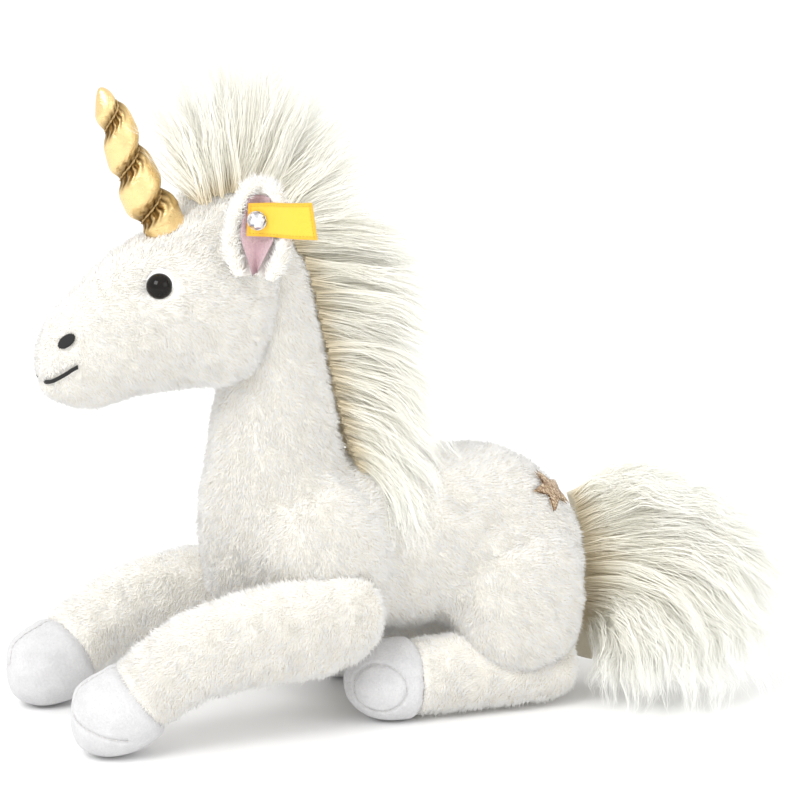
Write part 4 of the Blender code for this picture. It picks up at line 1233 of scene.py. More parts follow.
@dataclass
class Head:
    """The head's skin with its eyes, nostrils and mouth."""

    fullness: float = 2.25
    cheek: tuple = ((12.5, -71, 138), (14.5, 20, 22))
    muzzle: tuple = ((0, -115, 126), (16.0, 13.5, 15.5))
    eye: tuple = (20.0, -92.0, 154.0)
    eye_radius: float = 4.3
    nostril: tuple = (13.0, -121.5, 136.0)
    mouth: tuple = ((18, -119, 127.4), (16.6, -122, 125.6), (13.5, -125.2, 123.2), (9, -127.4, 121.6),
                    (4, -128.6, 120.8), (0, -129, 120.6))
    skin: bpy.types.Object = field(init=False)

    def build(self) -> None:
        """Melts the head's parts together and draws the mouth, sockets and cheeks."""
        where = np.concatenate([np.linspace(-129.5, -124, 12), np.linspace(-122.5, -52, 52),
                                np.linspace(-51, -46, 9)])
        skull = through_sections(where, (HEAD_TOP, HEAD_BOTTOM, HEAD_HALF_WIDTH), 56, self.fullness)
        cheek = ball(*self.cheek)
        self.skin = merged("head_skin", [skull, cheek, cheek.mirrored(), ball(*self.muzzle)], PLUSH,
                           voxel=2.4, softening=3, inset=2.0)
        swell(self.skin, pressure=3.0, cap=0.6)
        refine(self.skin)
        press_crease(self.skin, self.mouth, 1.1, 1.8)
        for place_, depth, width in ((self.eye, 2.2, 6.0), (self.nostril, 0.8, 3.2)):
            press_crease(self.skin, (place_, np.array(place_) + (0, 0.5, 0)), depth, width)

    def dome(self, side: int, tree: BVHTree) -> Shell:
        """A safety eye: a smooth resin dome with a rolled edge."""
        centre, out = seat(tree, np.array(self.eye) * (side, 1, 1))
        out = unit(out + (0.25 * side, 0, 0))
        across = unit(np.cross(out, (0, 1, 0)))
        up = np.cross(out, across)
        profile = [(self.eye_radius * 0.90, -1.6), (self.eye_radius * 0.99, 0.2)]
        profile += [(self.eye_radius * math.cos(a), 0.6 + 3.6 * math.sin(a))
                    for a in np.linspace(0.0, math.pi / 2 - 0.04, 14)]
        c, s = oval(40)
        rings = np.array([centre + out * (height + 0.6) + radius * (across * c[:, None] + up * s[:, None])
                          for radius, height in profile])
        return through_rings(rings)

    def satin_pad(self, side: int, tree: BVHTree) -> list[np.ndarray]:
        """The lines of one nostril's satin stitches."""
        centre, out = seat(tree, np.array(self.nostril) * (side, 1, 1))
        long = np.array((0.55 * side, 0.5, 0.66))
        long = unit(long - out * (long @ out))
        across = np.cross(out, long)
        lines = []
        for share in np.linspace(-0.94, 0.94, 15):
            half = 1.85 * math.sqrt(1 - share * share)
            lines.append(np.array([centre + long * share * 3.2 + across * half * t
                                   + out * (1.5 + 0.5 * (1 - t * t) * (1 - share * share))
                                   for t in np.linspace(-1, 1, 7)]))
        return lines

    def thread_shell(self, lines: list[np.ndarray], radius: float, around: int = 8) -> Shell:
        """Round threads along lines."""
        return join([along_path(tuple((*p, radius, radius) for p in line), len(line) + 3, around,
                                tuple(unit(np.cross(line[-1] - line[0], (0.1, 0.2, 0.97)))))
                     for line in lines])

    def comb(self, shop: Workshop, others: list[bpy.types.Object]) -> None:
        """Combs the pile back from the muzzle, short round the eyes, the nostrils and the mouth."""
        points = places_of(self.skin)
        x, y, z = points.T
        mirrored = np.abs(points * (1, 0, 0)) + points * (0, 1, 1)
        eye_far, nose_far = (np.linalg.norm(mirrored - spot, axis=1) for spot in (self.eye, self.nostril))
        line = path_through(np.array(self.mouth, float), 40)
        mouth_far = np.min(np.linalg.norm(mirrored[:, None] - line[None], axis=2), axis=1)
        pile = 0.62 + 0.38 * np.clip((y + 122) / 34, 0, 1)
        pile = np.where(eye_far < 7.0, np.clip((eye_far - 3.7) / 5.0, 0, 0.6), pile)
        pile = np.minimum(pile, 0.12 + 0.5 * np.clip((nose_far - 1.8) / 2.6, 0, 9))
        pile = np.minimum(pile, 0.10 + 0.5 * np.clip((mouth_far - 0.4) / 2.4, 0, 9))
        pile[buried(points, others, 4.0)] = 0.0
        flow = np.stack([np.sign(x) * 0.2, np.ones_like(x), -0.35 - 0.5 * (z < 140)], axis=1)
        shop.comb(self.skin, flow, pile)

    def mouth_shell(self, tree: BVHTree) -> Shell:
        """Two threads side by side that sink into the skin at the corners of the mouth."""
        half = [seat(tree, p) for p in path_through(np.array(self.mouth, float), 16)]
        half = [p + n * (1.5 - 2.2 * max(0.0, (i - 8) / 7)) for i, (p, n) in enumerate(half)]
        whole = np.array(half + [p * (-1, 1, 1) for p in reversed(half[:-1])])
        return self.thread_shell([whole + (0, 0, 0.28), whole - (0, 0, 0.28)], 0.42)

    def dress(self, shop: Workshop, others: list[bpy.types.Object]) -> None:
        """Sows the pile and sets the eyes and the stitching."""
        self.comb(shop, others)
        tree = surface_of(self.skin)
        shop.report(self.skin)
        x = middles_of(self.skin)[:, 0]
        piles = [shop.sow("left_face_pile", self.skin, x >= 0, seed=21),
                 shop.sow("right_face_pile", self.skin, x < 0, seed=22)]
        eyes = [mesh_object(f"{side.word}_glass_eye", self.dome(side.value, tree), RESIN) for side in Side]
        nostrils = [mesh_object(f"{side.word}_nostril_satin",
                                self.thread_shell(self.satin_pad(side.value, tree), 0.3), BLACK_THREAD)
                    for side in Side]
        mouth = mesh_object("mouth_thread", self.mouth_shell(tree), BLACK_THREAD)
        for obj, slot in [(e, "eye") for e in eyes] + [(n, "black_thread") for n in nostrils + [mouth]]:
            shop.report(obj)
        for obj in (self.skin, *piles, *eyes, *nostrils, mouth):
            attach(obj, "head")
        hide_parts("head_cover", "head_stuffing")
        for side, eye, nostril in zip(Side, eyes, nostrils):
            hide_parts(f"{side.word}_eye")
            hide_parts(f"{side.word}_nostril_stitching")
        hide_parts("mouth_stitching")


@dataclass
class Horn:
    """A soft horn: foil cloth wound round by a pull thread, with gathers on both sides of it."""

    base: tuple = (0.0, -85.5, 171.3)
    tip: tuple = (0.0, -106.0, 216.0)
    radius: float = 8.7
    turns: float = 3.0
    gathers: int = 17

    def radius_at(self, share: np.ndarray, angle: np.ndarray) -> tuple[np.ndarray, np.ndarray]:
        """The skin's distance from the axis and the painted shade that the foil takes there.

        Args:
            share: how far up the horn.
            angle: how far round it.

        Returns:
            The radius in millimetres and, from zero to one, the painted shade: the groove's depth as painted
            shade plus painted dark reflections on the pleats.
        """
        body = self.radius * (1 - 0.34 * share - 0.16 * share ** 3)
        phase = angle + 2 * math.pi * self.turns * share - 2.6
        groove = (0.5 + 0.5 * np.cos(phase)) ** 3.0
        wind = np.arctan2(np.sin(phase), np.cos(phase))
        pleat = np.cos(self.gathers * (angle + 4.0 * share) + 1.3 * np.sin(5 * wind))
        gather = 0.05 * pleat * np.exp(-((wind + 0.35) / 1.25) ** 2)
        close = np.sqrt(np.clip((1 - share) * 6, 0, 1)) * (0.88 + 0.12 * np.clip(share * 12, 0, 1))
        lobe = 1 - 0.36 * groove + gather
        # painted dark reflections on the pleats beside each groove, standing in for dark surroundings
        # mirrored in the gold
        shade = np.exp(-((wind + 0.95) / 0.62) ** 2) * (0.30 + 0.70 * (0.5 - 0.5 * pleat)) \
            * (0.62 + 0.38 * np.cos(2 * (angle - 0.5)))
        # the second value paints shade into the groove and adds the painted dark reflections
        return body * lobe * close, np.clip(0.75 * groove ** 2 + shade, 0, 1)

    def build(self, shop: Workshop) -> None:
        """Turns the twisted cloth and lays the pull thread in its groove."""
        base, tip = np.array(self.base), np.array(self.tip)
        along = unit(tip - base)
        side = np.array((1.0, 0.0, 0.0))
        up = np.cross(side, along)
        length = np.linalg.norm(tip - base)
        share, angle = np.meshgrid(np.linspace(-0.06, 1.0, 190), 2 * math.pi * np.arange(120) / 120,
                                   indexing="ij")
        radius, fold = self.radius_at(np.clip(share, 0, 1), angle)
        sway = 1.0 * np.sin(math.pi * 1.6 * share)[..., None] * up
        rings = (base + along * (share * length)[..., None] + sway
                 + side * (radius * np.cos(angle))[..., None] + up * (radius * np.sin(angle))[..., None])
        cone = mesh_object("horn_skin", through_rings(rings), LAME)
        # the foil's painted shade and dark reflections, stored for its colour and roughness
        store(cone, "fold", np.concatenate([fold.ravel(), [1.0, 0.5]]))
        share = np.linspace(0.02, 0.93, 150)
        angle = 2.6 - 2 * math.pi * self.turns * share
        reach = self.radius_at(share, angle)[0] + 0.05
        line = (base + along * (share * length)[:, None] + np.sin(math.pi * 1.6 * share)[:, None] * up
                + side * (reach * np.cos(angle))[:, None] + up * (reach * np.sin(angle))[:, None])
        thread = mesh_object("horn_pull_thread", along_path(
            tuple((*p, 0.32, 0.32) for p in line), 260, 8, (0.3, 0.2, 0.9)), GILT_THREAD)
        shop.report(cone)
        shop.report(thread)
        for obj in (cone, thread):
            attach(obj, "horn")
        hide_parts("horn_cover", "horn_stuffing")
        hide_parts("horn_thread")


# Ears

@dataclass
class Ear:
    """A cupped ear: a padded plush leaf with a rolled rim, and a velour lining."""

    side: Side
    base: tuple = (26.6, -60.0, 156.5)
    length: float = 31.0
    half_width: float = 9.6
    cup: float = 3.8
    rim_radius: float = 1.8
    facing: tuple = (0.86, -0.50, 0.05)
    lean: tuple = (0.13, 0.03, 0.99)

    def axes(self) -> tuple[np.ndarray, ...]:
        """The ear's root and its up, facing and across directions."""
        flip = np.array((self.side.value, 1, 1))
        up = unit(np.array(self.lean))
        facing = np.array(self.facing)
        facing = unit(facing - up * (facing @ up))
        return np.array(self.base) * flip, up * flip, facing * flip, np.cross(up, facing) * flip

    def leaf(self, v: np.ndarray, u: np.ndarray, width: float, front: float) -> np.ndarray:
        """Places on the ear: v runs up it from zero to one, and u across it from -1 to 1."""
        base, up, facing, across = self.axes()
        half = width * np.sin(np.pi * np.clip(0.07 + 0.88 * v ** 0.85, 0, 1)) ** 0.62
        cup = self.cup * np.abs(u) ** 1.8 * (1.25 - 0.55 * v)
        return (base + up * (v * self.length)[..., None] + across * (half * u)[..., None]
                + facing * (cup + front)[..., None])

    def padding(self) -> bpy.types.Object:
        """The padded leaf, melted together with the rim that rolls round it."""
        v, u = np.meshgrid(np.linspace(0.0, 0.97, 26), np.linspace(-1, 1, 19), indexing="ij")
        leaf = two_layers(self.leaf(v, u, self.half_width, -0.2), self.leaf(v, u, self.half_width - 0.8, 1.9))
        turn = np.concatenate([np.linspace(0.03, 0.97, 24), np.linspace(0.97, 0.97, 9),
                               np.linspace(0.97, 0.03, 24)])
        edge = np.concatenate([np.full(24, 1.0), np.linspace(1, -1, 9), np.full(24, -1.0)])
        rim = self.leaf(turn, edge, self.half_width - 0.6, 1.2)
        radius = self.rim_radius
        roll = along_path(tuple((*p, radius, radius) for p in rim), 110, 14, tuple(self.axes()[2]))
        return merged(f"{self.side.word}_ear_skin", [leaf, roll], PLUSH, voxel=0.8, softening=4)

    def comb(self, shop: Workshop, skin: bpy.types.Object) -> None:
        """Combs the pile up the ear, leaving none under the lining and little under the tag."""
        base, up, facing, across = self.axes()
        local = places_of(skin) - base
        out = normals_of(skin) @ facing
        rise, sideways = local @ up, local @ across
        inner = (out > 0.45) & (np.abs(sideways) < self.half_width - 4.6) & (rise < self.length - 5.0)
        pile = np.where(inner, 0.0, 0.9) * np.clip((rise + 2) / 5, 0.3, 1)
        if self.side is Side.LEFT:
            rear = sideways * np.sign(across[1])
            under = (out > -0.1) & (rear > -2) & (np.abs(rise - 20.5) < 7.5)
            pile[under] = np.minimum(pile[under], 0.25)
        shop.comb(skin, up[None] * 0.9 + across[None] * np.sign(sideways)[:, None] * 0.3
                  - facing[None] * 0.2, pile)

    def lining(self) -> Shell:
        """The velour leaf in the cup, narrow at the ear's root."""
        v, u = np.meshgrid(np.linspace(0.04, 0.88, 30), np.linspace(-1, 1, 17), indexing="ij")
        narrow = (self.half_width - 4.0) * np.clip(0.1 + 2.0 * v, 0, 1)
        return two_layers(self.leaf(v, u, narrow, 2.1), self.leaf(v, u, narrow, 2.6))

    def build(self, shop: Workshop) -> None:
        """Pads the ear, lines it and sows its pile."""
        word = self.side.word
        skin = self.padding()
        self.comb(shop, skin)
        velour = mesh_object(f"{word}_ear_velour", self.lining(), EAR_VELOUR)
        fur = shop.sow(f"{word}_ear_pile", skin, seed=31 + self.side.value, Length=0.0036)
        shop.report(skin)
        shop.report(velour)
        for obj in (skin, velour, fur):
            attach(obj, f"{word}_ear")
        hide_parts(f"{word}_ear")
        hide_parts(f"{word}_ear_lining")


@dataclass
class Tag:
    """A plain woven flag with a stitched edge, pinned to the left ear by the stud."""

    length: float = 22.5
    height: float = 11.8
    overhang: float = 3.4  # from the stud to the near end
    stud_up: float = 20.0  # from the ear's root to the stud
    thickness: float = 0.45
    hem: float = 1.0

    def build(self, shop: Workshop, ear: Ear) -> None:
        """Weaves the flag with a gentle curl and stitches round its edge."""
        base, up, facing, across = ear.axes()
        rear = across if across[1] > 0 else -across
        low, high = (np.array(corner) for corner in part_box("ear_tag"))
        centre = base + up * self.stud_up
        depth = float(((low + high) / 2 / MM + CENTRE - centre) @ facing)

        def spot(x: np.ndarray, y: np.ndarray, front: float) -> np.ndarray:
            """A place on the flag: x along it from zero to one, y up it from -0.5 to 0.5."""
            bend = np.clip((x - 0.28) / 0.45, 0, 1)
            out = depth + 1.9 * bend * bend * (3 - 2 * bend) + front
            return (centre + rear * (x * self.length - self.overhang - 2.6 * x * y)[..., None]
                    + up * (y * self.height * (0.92 + 0.10 * x) + 0.115 * (x - 0.15) * self.length)[..., None]
                    + facing * out[..., None])

        x, y = np.meshgrid(np.linspace(0, 1, 33), np.linspace(-0.5, 0.5, 15), indexing="ij")
        flag = mesh_object("plain_ear_tag", two_layers(spot(x, y, -self.thickness / 2),
                                                       spot(x, y, self.thickness / 2)), TAG_WEAVE)
        flag.data.set_sharp_from_angle(angle=math.radians(40))
        edge = np.minimum(np.minimum(x, 1 - x) * self.length, (0.5 - np.abs(y)) * self.height)
        store(flag, "border", np.tile(np.clip((self.hem - edge.ravel()) / 0.5, 0, 1), 2))
        uv = flag.data.uv_layers.new(name="UVMap")
        flat = np.stack([np.tile(x.ravel(), 2), np.tile(y.ravel(), 2)], axis=1)
        index = np.empty(len(flag.data.loops), np.int32)
        flag.data.loops.foreach_get("vertex_index", index)
        uv.data.foreach_set("uv", flat[index].astype(np.float32).ravel())
        wide, tall = self.hem / self.length, self.hem / self.height
        corners = ((0, -1), (1, -1), (1, 1), (0, 1), (0, -1))
        t = np.linspace(0, 1, 24)
        loops = [spot((ax + (bx - ax) * t) * (1 - 2 * wide) + wide, (ay + (by - ay) * t) * (0.5 - tall),
                      self.thickness / 2 + 0.05) for (ax, ay), (bx, by) in zip(corners, corners[1:])]
        lines = line_mesh("tag_stitch_lines", loops, {"out": np.tile(facing, (len(t) * len(loops), 1))})
        stitches = shop.stitch.apply("tag_edge_stitches", lines, Pitch=0.0011, Length=0.00085,
                                     Radius=0.00014, Material=TAG_THREAD.make())
        shop.report(flag)
        shop.report(stitches)
        for obj in (flag, stitches):
            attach(obj, "ear_tag")
        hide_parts("ear_tag")


# Legs

@dataclass
class Leg:
    """A plush leg with a velour hoof sewn on."""

    side: Side
    fore: bool
    stations: tuple
    seam: int
    reach: float = 0.0
    drop: float = 0.0

    @property
    def word(self) -> str:
        """The leg's name in a piece's name."""
        return f"{self.side.word}_{'fore' if self.fore else 'hind'}"

    def __post_init__(self) -> None:
        """Lays the leg on its own side and finds its seam."""
        self.stations = tuple((self.side.value * x, y - self.reach,
                               z - self.drop * max(0.0, min((z - 13.0) / 20.0, 1.0)), w, h)
                              for x, y, z, w, h in self.stations)
        before, here, after = (np.array(self.stations[self.seam + i][:3]) for i in (-1, 0, 1))
        self.seam_at, self.seam_way = here, unit(after - before)

    def past(self, points: np.ndarray) -> np.ndarray:
        """How far points lie past the seam, towards the hoof's tip."""
        return (points - self.seam_at) @ self.seam_way

    def build(self) -> None:
        """Fills the leg, then splits it at the seam into sleeve and hoof."""
        whole = merged(f"{self.word}_leg_skin", [along_path(self.stations, 84, 44)], PLUSH,
                       voxel=2.2, softening=2)
        swell(whole, pressure=3.0, cap=0.8)
        refine(whole)
        points = places_of(whole)
        past = self.past(points)
        points -= normals_of(whole) * (2.1 * np.clip(0.5 - past / 6, 0, 1)
                                       + 1.1 * np.exp(-(past / 1.2) ** 2))[:, None]
        points[:, 2] = np.maximum(points[:, 2], 0.5)
        move_to(whole, points)
        hoof = mesh_object(f"{self.word}_hoof_velour", Shell(points, [
            tuple(p.vertices) for p in whole.data.polygons]), HOOF_VELOUR)
        self.skin, self.hoof = whole, hoof
        self.keep_one_end(whole, 1)
        self.keep_one_end(hoof, -1)
        self.toe_lines = self.press_toe_seams()

    def keep_one_end(self, obj: bpy.types.Object, sign: int) -> None:
        """Cuts a leg at its seam, and closes and keeps the sleeve (1) or the hoof (-1)."""
        cut = bmesh.new()
        cut.from_mesh(obj.data)
        made = bmesh.ops.bisect_plane(cut, geom=cut.verts[:] + cut.edges[:] + cut.faces[:],
                                      plane_co=at(*self.seam_at),
                                      plane_no=tuple(self.seam_way * sign), clear_outer=True)
        rim = [e for e in made["geom_cut"] if isinstance(e, bmesh.types.BMEdge)]
        bmesh.ops.holes_fill(cut, edges=rim)
        bmesh.ops.triangulate(cut, faces=[f for f in cut.faces if len(f.verts) > 4])
        bmesh.ops.recalc_face_normals(cut, faces=cut.faces)
        cut.to_mesh(obj.data)
        cut.free()

    def toe_paths(self) -> tuple:
        """Where the hoof's own seams run, from its tip: two lines on a fore hoof, a sole's ring behind."""
        s = self.side.value
        if self.fore:
            return (((0, -1, 4), (0, 3, 15), (1.5 * s, 11, 20), (3.0 * s, 17, 22)),
                    ((2 * s, -1, 3), (9 * s, 1, 1), (14 * s, 7, -2), (15 * s, 15, -4)))
        turn = np.linspace(0, 2 * math.pi, 33)[:, None]
        ring = np.array((12.0 * s, 7.5, 1.0)) + 11.0 * np.array((0.58 * s, 0.81, 0.0)) * np.cos(turn) \
            + 10.5 * np.array((0.0, 0.0, 1.0)) * np.sin(turn)
        return (tuple(map(tuple, ring)),)

    def press_toe_seams(self) -> tuple[list[np.ndarray], np.ndarray]:
        """Draws the hoof's own seams, and returns where they lie."""
        refine(self.hoof)
        tree = surface_of(self.hoof)
        tip = np.array(self.stations[-1][:3])
        lines, outs = [], []
        for path in self.toe_paths():
            seats = [seat(tree, p) for p in path_through(tip + np.array(path, float),
                                                         26 if self.fore else 60)]
            lines.append(np.array([p - n * 0.35 for p, n in seats]))
            outs += [n for _, n in seats]
        for line in lines:
            press_crease(self.hoof, line, 0.8, 0.8, both=False)
        return lines, np.array(outs)

    def seam_line(self) -> tuple[list[np.ndarray], np.ndarray]:
        """The ring of stitches where the hoof meets the sleeve."""
        points = places_of(self.hoof)
        ring = points[np.abs(self.past(points)) < 0.05]
        middle = ring.mean(axis=0)
        angle = np.arctan2(ring[:, 2] - middle[2], ring[:, 0] - middle[0])
        ring = ring[np.argsort(angle)]
        ring = ring[np.linalg.norm(ring - middle, axis=1) > 4]
        steps = [ring[0]]
        for p in ring[1:]:
            if np.linalg.norm(p - steps[-1]) > 0.6:
                steps.append(p)
        line = np.array(steps + [steps[0]])
        out = unit(line - middle)
        return [line + out * 0.15], out

    def dress(self, shop: Workshop, others: list[bpy.types.Object]) -> None:
        """Sows the sleeve's pile, stitches the hoof on and binds the hoof and its stitches to the leg's body.
        """
        points = places_of(self.skin)
        x, y, z = points.T
        back = -self.past(points)
        pile = np.clip(0.5 + back / 14, 0, 1) * (back > -0.1)
        pile[z < 0.9] = 0.0
        pile[buried(points, others, 4.0)] = 0.0
        flow = self.seam_way + np.stack([0 * x, -0.6 + 0 * x, -0.5 + 0 * x], axis=1)
        shop.comb(self.skin, flow, pile)
        fur = shop.sow(f"{self.word}_leg_pile", self.skin, seed=41 + seed_of(self.word))
        lines, out = self.seam_line()
        lines, out = lines + self.toe_lines[0], np.concatenate([out, self.toe_lines[1]])
        mesh = line_mesh(f"{self.word}_seam_line", lines, {"out": out})
        stitches = shop.stitch.apply(f"{self.word}_hoof_stitches", mesh, Pitch=0.0019, Length=0.0015,
                                     Radius=0.0002, Material=WHITE_THREAD.make())
        shop.report(self.skin)
        shop.report(self.hoof)
        shop.report(stitches)
        body = f"{self.word}_leg"
        for obj in (self.skin, fur):
            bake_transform(obj)
        for obj in (self.hoof, stitches):
            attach(obj, body)
        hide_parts(f"{self.word}_leg_cover", f"{self.word}_leg_stuffing")
        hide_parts(f"{self.word}_hoof")


def seed_of(word: str) -> int:
    """A small fixed number for a name, so that each leg has its own draw."""
    return sum(ord(letter) for letter in word) % 50


FORE_STATIONS = (
    (38.6, -22.0, 44.0, 6.0, 6.5), (38.6, -25.2, 43.6, 10.4, 11.4), (38.6, -30.0, 42.6, 13.0, 14.8),
    (38.8, -38.0, 40.8, 13.9, 17.2), (39.0, -50.0, 38.5, 13.9, 18.2), (39.0, -68.0, 37.0, 13.9, 17.5),
    (38.0, -84.0, 33.5, 13.9, 16.3), (35.5, -96.0, 26.5, 14.0, 14.9), (33.2, -103.5, 20.5, 14.2, 14.6),
    (31.4, -109.5, 15.6, 14.6, 14.8), (30.3, -116.0, 13.6, 14.2, 14.2), (29.7, -121.5, 12.6, 12.1, 12.2),
    (29.4, -125.4, 12.0, 8.0, 8.4), (29.3, -126.6, 12.0, 4.0, 4.2),
)
HIND_STATIONS = (
    (27.0, 54.0, 13.6, 5.5, 6.5), (27.0, 50.8, 13.7, 9.4, 11.0), (27.0, 46.5, 13.8, 12.3, 13.2),
    (27.0, 38.0, 13.9, 13.4, 14.0), (27.0, 22.0, 13.9, 13.4, 14.0), (26.6, 4.0, 13.9, 13.6, 14.1),
    (26.2, -6.0, 13.9, 14.2, 14.4), (26.0, -14.0, 13.9, 14.2, 14.4), (25.8, -21.0, 13.7, 13.0, 13.2),
    (25.7, -26.2, 13.4, 9.8, 10.0), (25.7, -29.9, 13.2, 5.5, 5.8),
)


# Long hair

@dataclass
class Locks:
    """Guide lines that fan from a root line to a line of tips."""

    roots: tuple
    tips: tuple
    count: int
    lift: tuple
    root_width: float
    tip_width: float
    seed: int
    across: tuple = (1.0, 0.0, 0.0)
    bow: float = 0.34
    shortest: float = 0.5
    stray: float = 3.0
    spread: tuple = (1.5, 2.6, 2.8, 2.2)

    def lines(self) -> tuple[list[np.ndarray], np.ndarray]:
        """Draws the guides.

        Returns:
            The guides' places and the lock's radius, in metres, at each of their points.
        """
        draw = np.random.default_rng(self.seed)
        root_path = path_through(np.array(self.roots, float), 200)
        tip_path = path_through(np.array(self.tips, float), 200)
        across = unit(np.array(self.across))
        lines, spreads = [], []
        t = np.linspace(0, 1, 12)[:, None]
        for k in range(self.count):
            share = (k + draw.random()) / self.count
            aside = np.clip(draw.normal(0, 0.5), -1.15, 1.15)
            root = root_path[int(share * 199)] + across * aside * self.root_width
            aim = np.clip(share + draw.normal(0, 0.05), 0, 1)
            tip = tip_path[int(aim * 199)] + across * aside * self.tip_width \
                + draw.normal(0, self.stray, 3)
            tip = root + (tip - root) * (self.shortest + (1.06 - self.shortest) * draw.random() ** 0.8)
            far = np.linalg.norm(tip - root)
            bend = root + (tip - root) * 0.42 + np.array(self.lift) * far * self.bow \
                + draw.normal(0, 0.06, 3) * far
            lines.append(root * (1 - t) ** 2 + 2 * bend * t * (1 - t) + tip * t ** 2)
            spreads.append(np.interp(t[:, 0], (0, 0.35, 0.75, 1), self.spread) * MM)
        return lines, np.concatenate(spreads)

    def grow(self, shop: Workshop, name: str, finish: Finish, **values: float) -> bpy.types.Object:
        """Grows the strands.

        Args:
            shop: the shared tools.
            name: the hair's name.
            finish: its surface.
            values: inputs of the hair tool.

        Returns:
            The hair, as a mesh that stays above the floor.
        """
        lines, spread = self.lines()
        guides = line_mesh(f"{name}_guides", lines, {"spread": spread})
        hair = shop.hair.apply(name, guides, Seed=self.seed, Material=finish.make(), **values)
        lift_off_floor(hair, 0.3)
        return shop.report(hair)


@dataclass
class Mane:
    """The hair along the neck's crest, and the forelock over the poll."""

    crest: Locks = field(default_factory=lambda: Locks(
        roots=((3, -18.5, 80), (3, -21.5, 90), (2, -25.5, 104), (1, -29, 120), (0, -33.5, 140),
               (0, -38, 156), (0, -45, 170)),
        tips=((30, -13, 58), (28, -9, 60), (25, -3, 63), (20, 3, 69), (15, 8, 79), (10, 12, 91),
              (6, 15, 105), (3, 17, 121), (0, 18, 138), (0, 14, 158)),
        count=380, lift=(0.15, 0.85, 0.42), root_width=9.0, tip_width=17.0, seed=5, shortest=0.6,
        spread=(1.2, 2.6, 2.6, 1.2)))
    front: Locks = field(default_factory=lambda: Locks(
        roots=((0, -73, 178), (0, -69, 180), (0, -63, 181), (0, -57, 180), (0, -50, 174), (0, -46, 166)),
        tips=((0, -96, 216), (0, -84, 228), (0, -72, 241), (0, -60, 241), (0, -40, 234), (0, -22, 221),
              (0, -4, 203), (0, 6, 180)),
        count=330, lift=(0, 0.1, 0.35), root_width=10.0, tip_width=16.0, seed=6, stray=6.0,
        shortest=0.52, spread=(1.6, 2.6, 2.4, 1.2)))

    def build(self, shop: Workshop) -> None:
        """Grows both hanks."""
        for name, locks, body, node in (("mane_hair", self.crest, "neck", "mane"),
                                        ("forelock_hair", self.front, "head", "forelock")):
            hair = locks.grow(shop, name, MANE_HAIR, Strands=21, Width=0.00023, Wave=0.0042, Stray=0.12)
            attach(hair, body)
            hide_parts(node)


@dataclass
class Tail:
    """A bushy tail: a cloth strip with long wavy hair that falls to the floor."""

    roots: tuple = ((8, 66.5, 20), (8, 67, 32), (7, 67.5, 43), (5.5, 67, 53), (3.5, 66, 61), (2, 65, 67))
    tips: tuple = ((34, 62, 2), (46, 67, 2), (58, 76, 2), (63, 88, 2), (64, 101, 3), (62, 114, 8),
                   (60, 124, 18), (53, 129, 31), (45, 128, 45), (34, 119, 59), (22, 104, 71),
                   (11, 88, 77))
    strip: tuple = (  # X, Y, Z, half width, half thickness
        (1.0, 63.0, 68.0, 3.0, 0.8), (3.0, 65.4, 62.0, 4.5, 0.8), (5.0, 66.8, 52.0, 5.5, 0.8),
        (6.2, 67.2, 38.0, 6, 0.8), (6.8, 66.7, 22.0, 5.5, 0.8), (7.0, 65.5, 8.0, 4, 0.8))
    strip_width: float = 11.0

    def build(self, shop: Workshop) -> None:
        """Sews the strip and grows the hair in two pieces."""
        for name, seed in (("tail_hair_over", 8), ("tail_hair_under", 9)):
            locks = Locks(self.roots, self.tips, count=320, lift=(0.25, 0.75, 0.75), root_width=6.5,
                          tip_width=20.0, seed=seed, across=(0.80, -0.60, 0.15), bow=0.40,
                          shortest=0.66, stray=2.5, spread=(1.6, 3.2, 2.5, 0.9))
            hair = locks.grow(shop, name, TAIL_HAIR, Strands=26, Width=0.00027, Wave=0.0068, Stray=0.06)
            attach(hair, "tail")
            if seed == 8:
                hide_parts("tail_fur")
        strip = mesh_object("tail_cloth_strip", along_path(self.strip, 50, 24, (0.85, 0.5, 0.0)),
                            TAIL_BACKING)
        shop.report(strip)
        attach(strip, "tail")
        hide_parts("tail_cloth")


# Stage

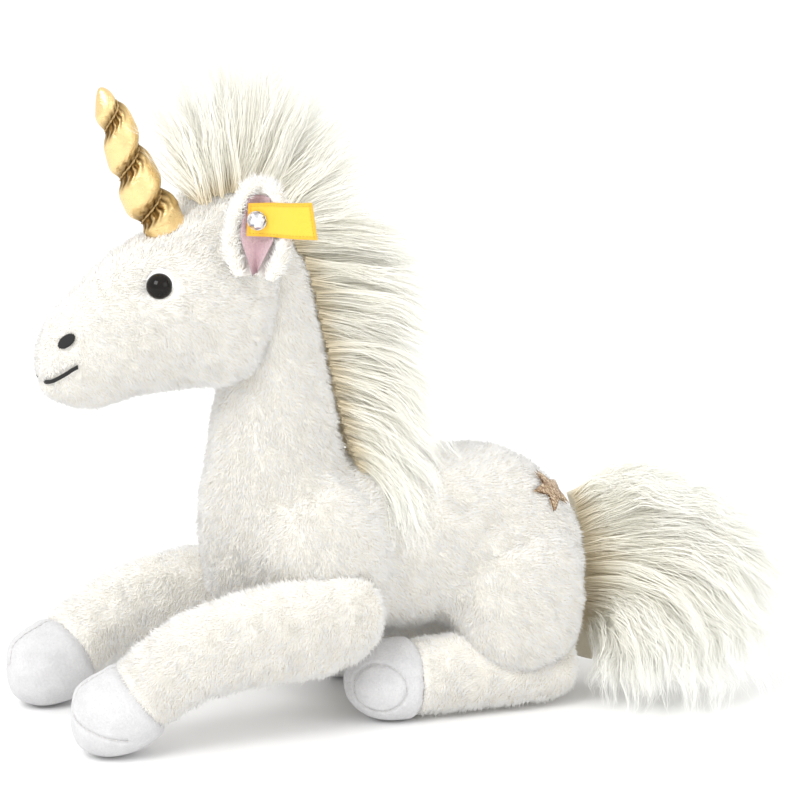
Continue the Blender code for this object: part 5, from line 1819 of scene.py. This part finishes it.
@dataclass
class Studio:
    """A pale table, soft lamps and the camera."""

    azimuth: float = 70.0
    elevation: float = 12.0
    distance: float = 1.0
    lens: float = 130.5
    target: tuple = (0.0, 0.0, 105.0)
    sky_strength: float = 1.12
    table_size: float = 6.0

    def lamp(self, name: str, where: tuple, power: float, size: float) -> None:
        """Hangs one square lamp that points at the toy."""
        light = bpy.data.lights.new(name, "AREA")
        light.energy = power
        light.size = size
        obj = bpy.data.objects.new(name, light)
        bpy.context.scene.collection.objects.link(obj)
        obj.location = where
        aim = Vector(at(*self.target)) - Vector(where)
        obj.rotation_euler = aim.to_track_quat("-Z", "Y").to_euler()

    def build(self) -> None:
        """Sets the table, the lamps, the sky and the camera."""
        size, rows = self.table_size, 24
        x, y = np.meshgrid(np.linspace(-size, size, rows), np.linspace(-size, size, rows), indexing="ij")
        mesh = bpy.data.meshes.new("table_top")
        flat = np.stack([x, y, np.full_like(x, -0.0004)], axis=2).reshape(-1, 3)
        mesh.from_pydata(flat.tolist(), [], [
            (i * rows + j, (i + 1) * rows + j, (i + 1) * rows + j + 1, i * rows + j + 1)
            for i in range(rows - 1) for j in range(rows - 1)])
        table = bpy.data.objects.new("table_top", mesh)
        bpy.context.scene.collection.objects.link(table)
        mesh.materials.append(TABLE.make())
        world = bpy.data.worlds.new("studio_sky")
        bpy.context.scene.world = world
        world.use_nodes = True
        sky = world.node_tree.nodes["Background"]
        sky.inputs["Color"].default_value = (1.0, 1.0, 1.0, 1.0)
        sky.inputs["Strength"].default_value = self.sky_strength
        self.lamp("key_lamp", (0.9, -1.1, 1.3), 17.0, 0.8)
        self.lamp("side_lamp", (1.5, 0.9, 0.9), 5.0, 1.0)
        camera = bpy.data.cameras.new("camera")
        camera.lens = self.lens
        camera.sensor_width = 36.0
        camera.shift_x = -0.005
        obj = bpy.data.objects.new("camera", camera)
        bpy.context.scene.collection.objects.link(obj)
        a, e = math.radians(self.azimuth), math.radians(self.elevation)
        back = Vector((math.sin(a) * math.cos(e), -math.cos(a) * math.cos(e), math.sin(e)))
        obj.location = Vector(at(*self.target)) + back * self.distance
        obj.rotation_euler = (-back).to_track_quat("-Z", "Y").to_euler()
        camera.clip_start, camera.clip_end = 0.05, 30.0
        bpy.context.scene.camera = obj
        bpy.context.scene.view_settings.view_transform = "Standard"


def finish_hard_pieces() -> None:
    """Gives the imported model's own stud, stone and washers their surfaces."""
    for node, finish in (("ear_stud_post", STEEL), ("ear_stud_washer", STEEL), ("ear_stud_stone", CRYSTAL),
                         ("left_eye_washer", WASHER_PLASTIC), ("right_eye_washer", WASHER_PLASTIC)):
        obj = frame["nodes"][node]
        obj.data.materials.clear()
        obj.data.materials.append(finish.make())


def main() -> None:
    """Builds every sub-assembly in order and reports it."""
    logging.basicConfig(level=logging.INFO, format="%(message)s", stream=sys.stdout)
    shop = Workshop()
    torso, head = Torso(), Head()
    torso.build()
    head.build()
    legs = [Leg(side, True, FORE_STATIONS, 8, reach, drop)
            for side, reach, drop in ((Side.LEFT, 0.0, 0.0), (Side.RIGHT, 8.0, 6.0))]
    legs += [Leg(side, False, HIND_STATIONS, 6) for side in Side]
    for leg in legs:
        leg.build()
    torso.dress(shop, [leg.skin for leg in legs] + [head.skin])
    head.dress(shop, [torso.skin])
    for leg in legs:
        leg.dress(shop, [torso.skin])
    Star().build(shop, torso.skin)
    Horn().build(shop)
    ears = {side: Ear(side) for side in Side}
    for ear in ears.values():
        ear.build(shop)
    Tag().build(shop, ears[Side.LEFT])
    Mane().build(shop)
    Tail().build(shop)
    finish_hard_pieces()
    Studio().build()


if __name__ == "__main__":
    main()
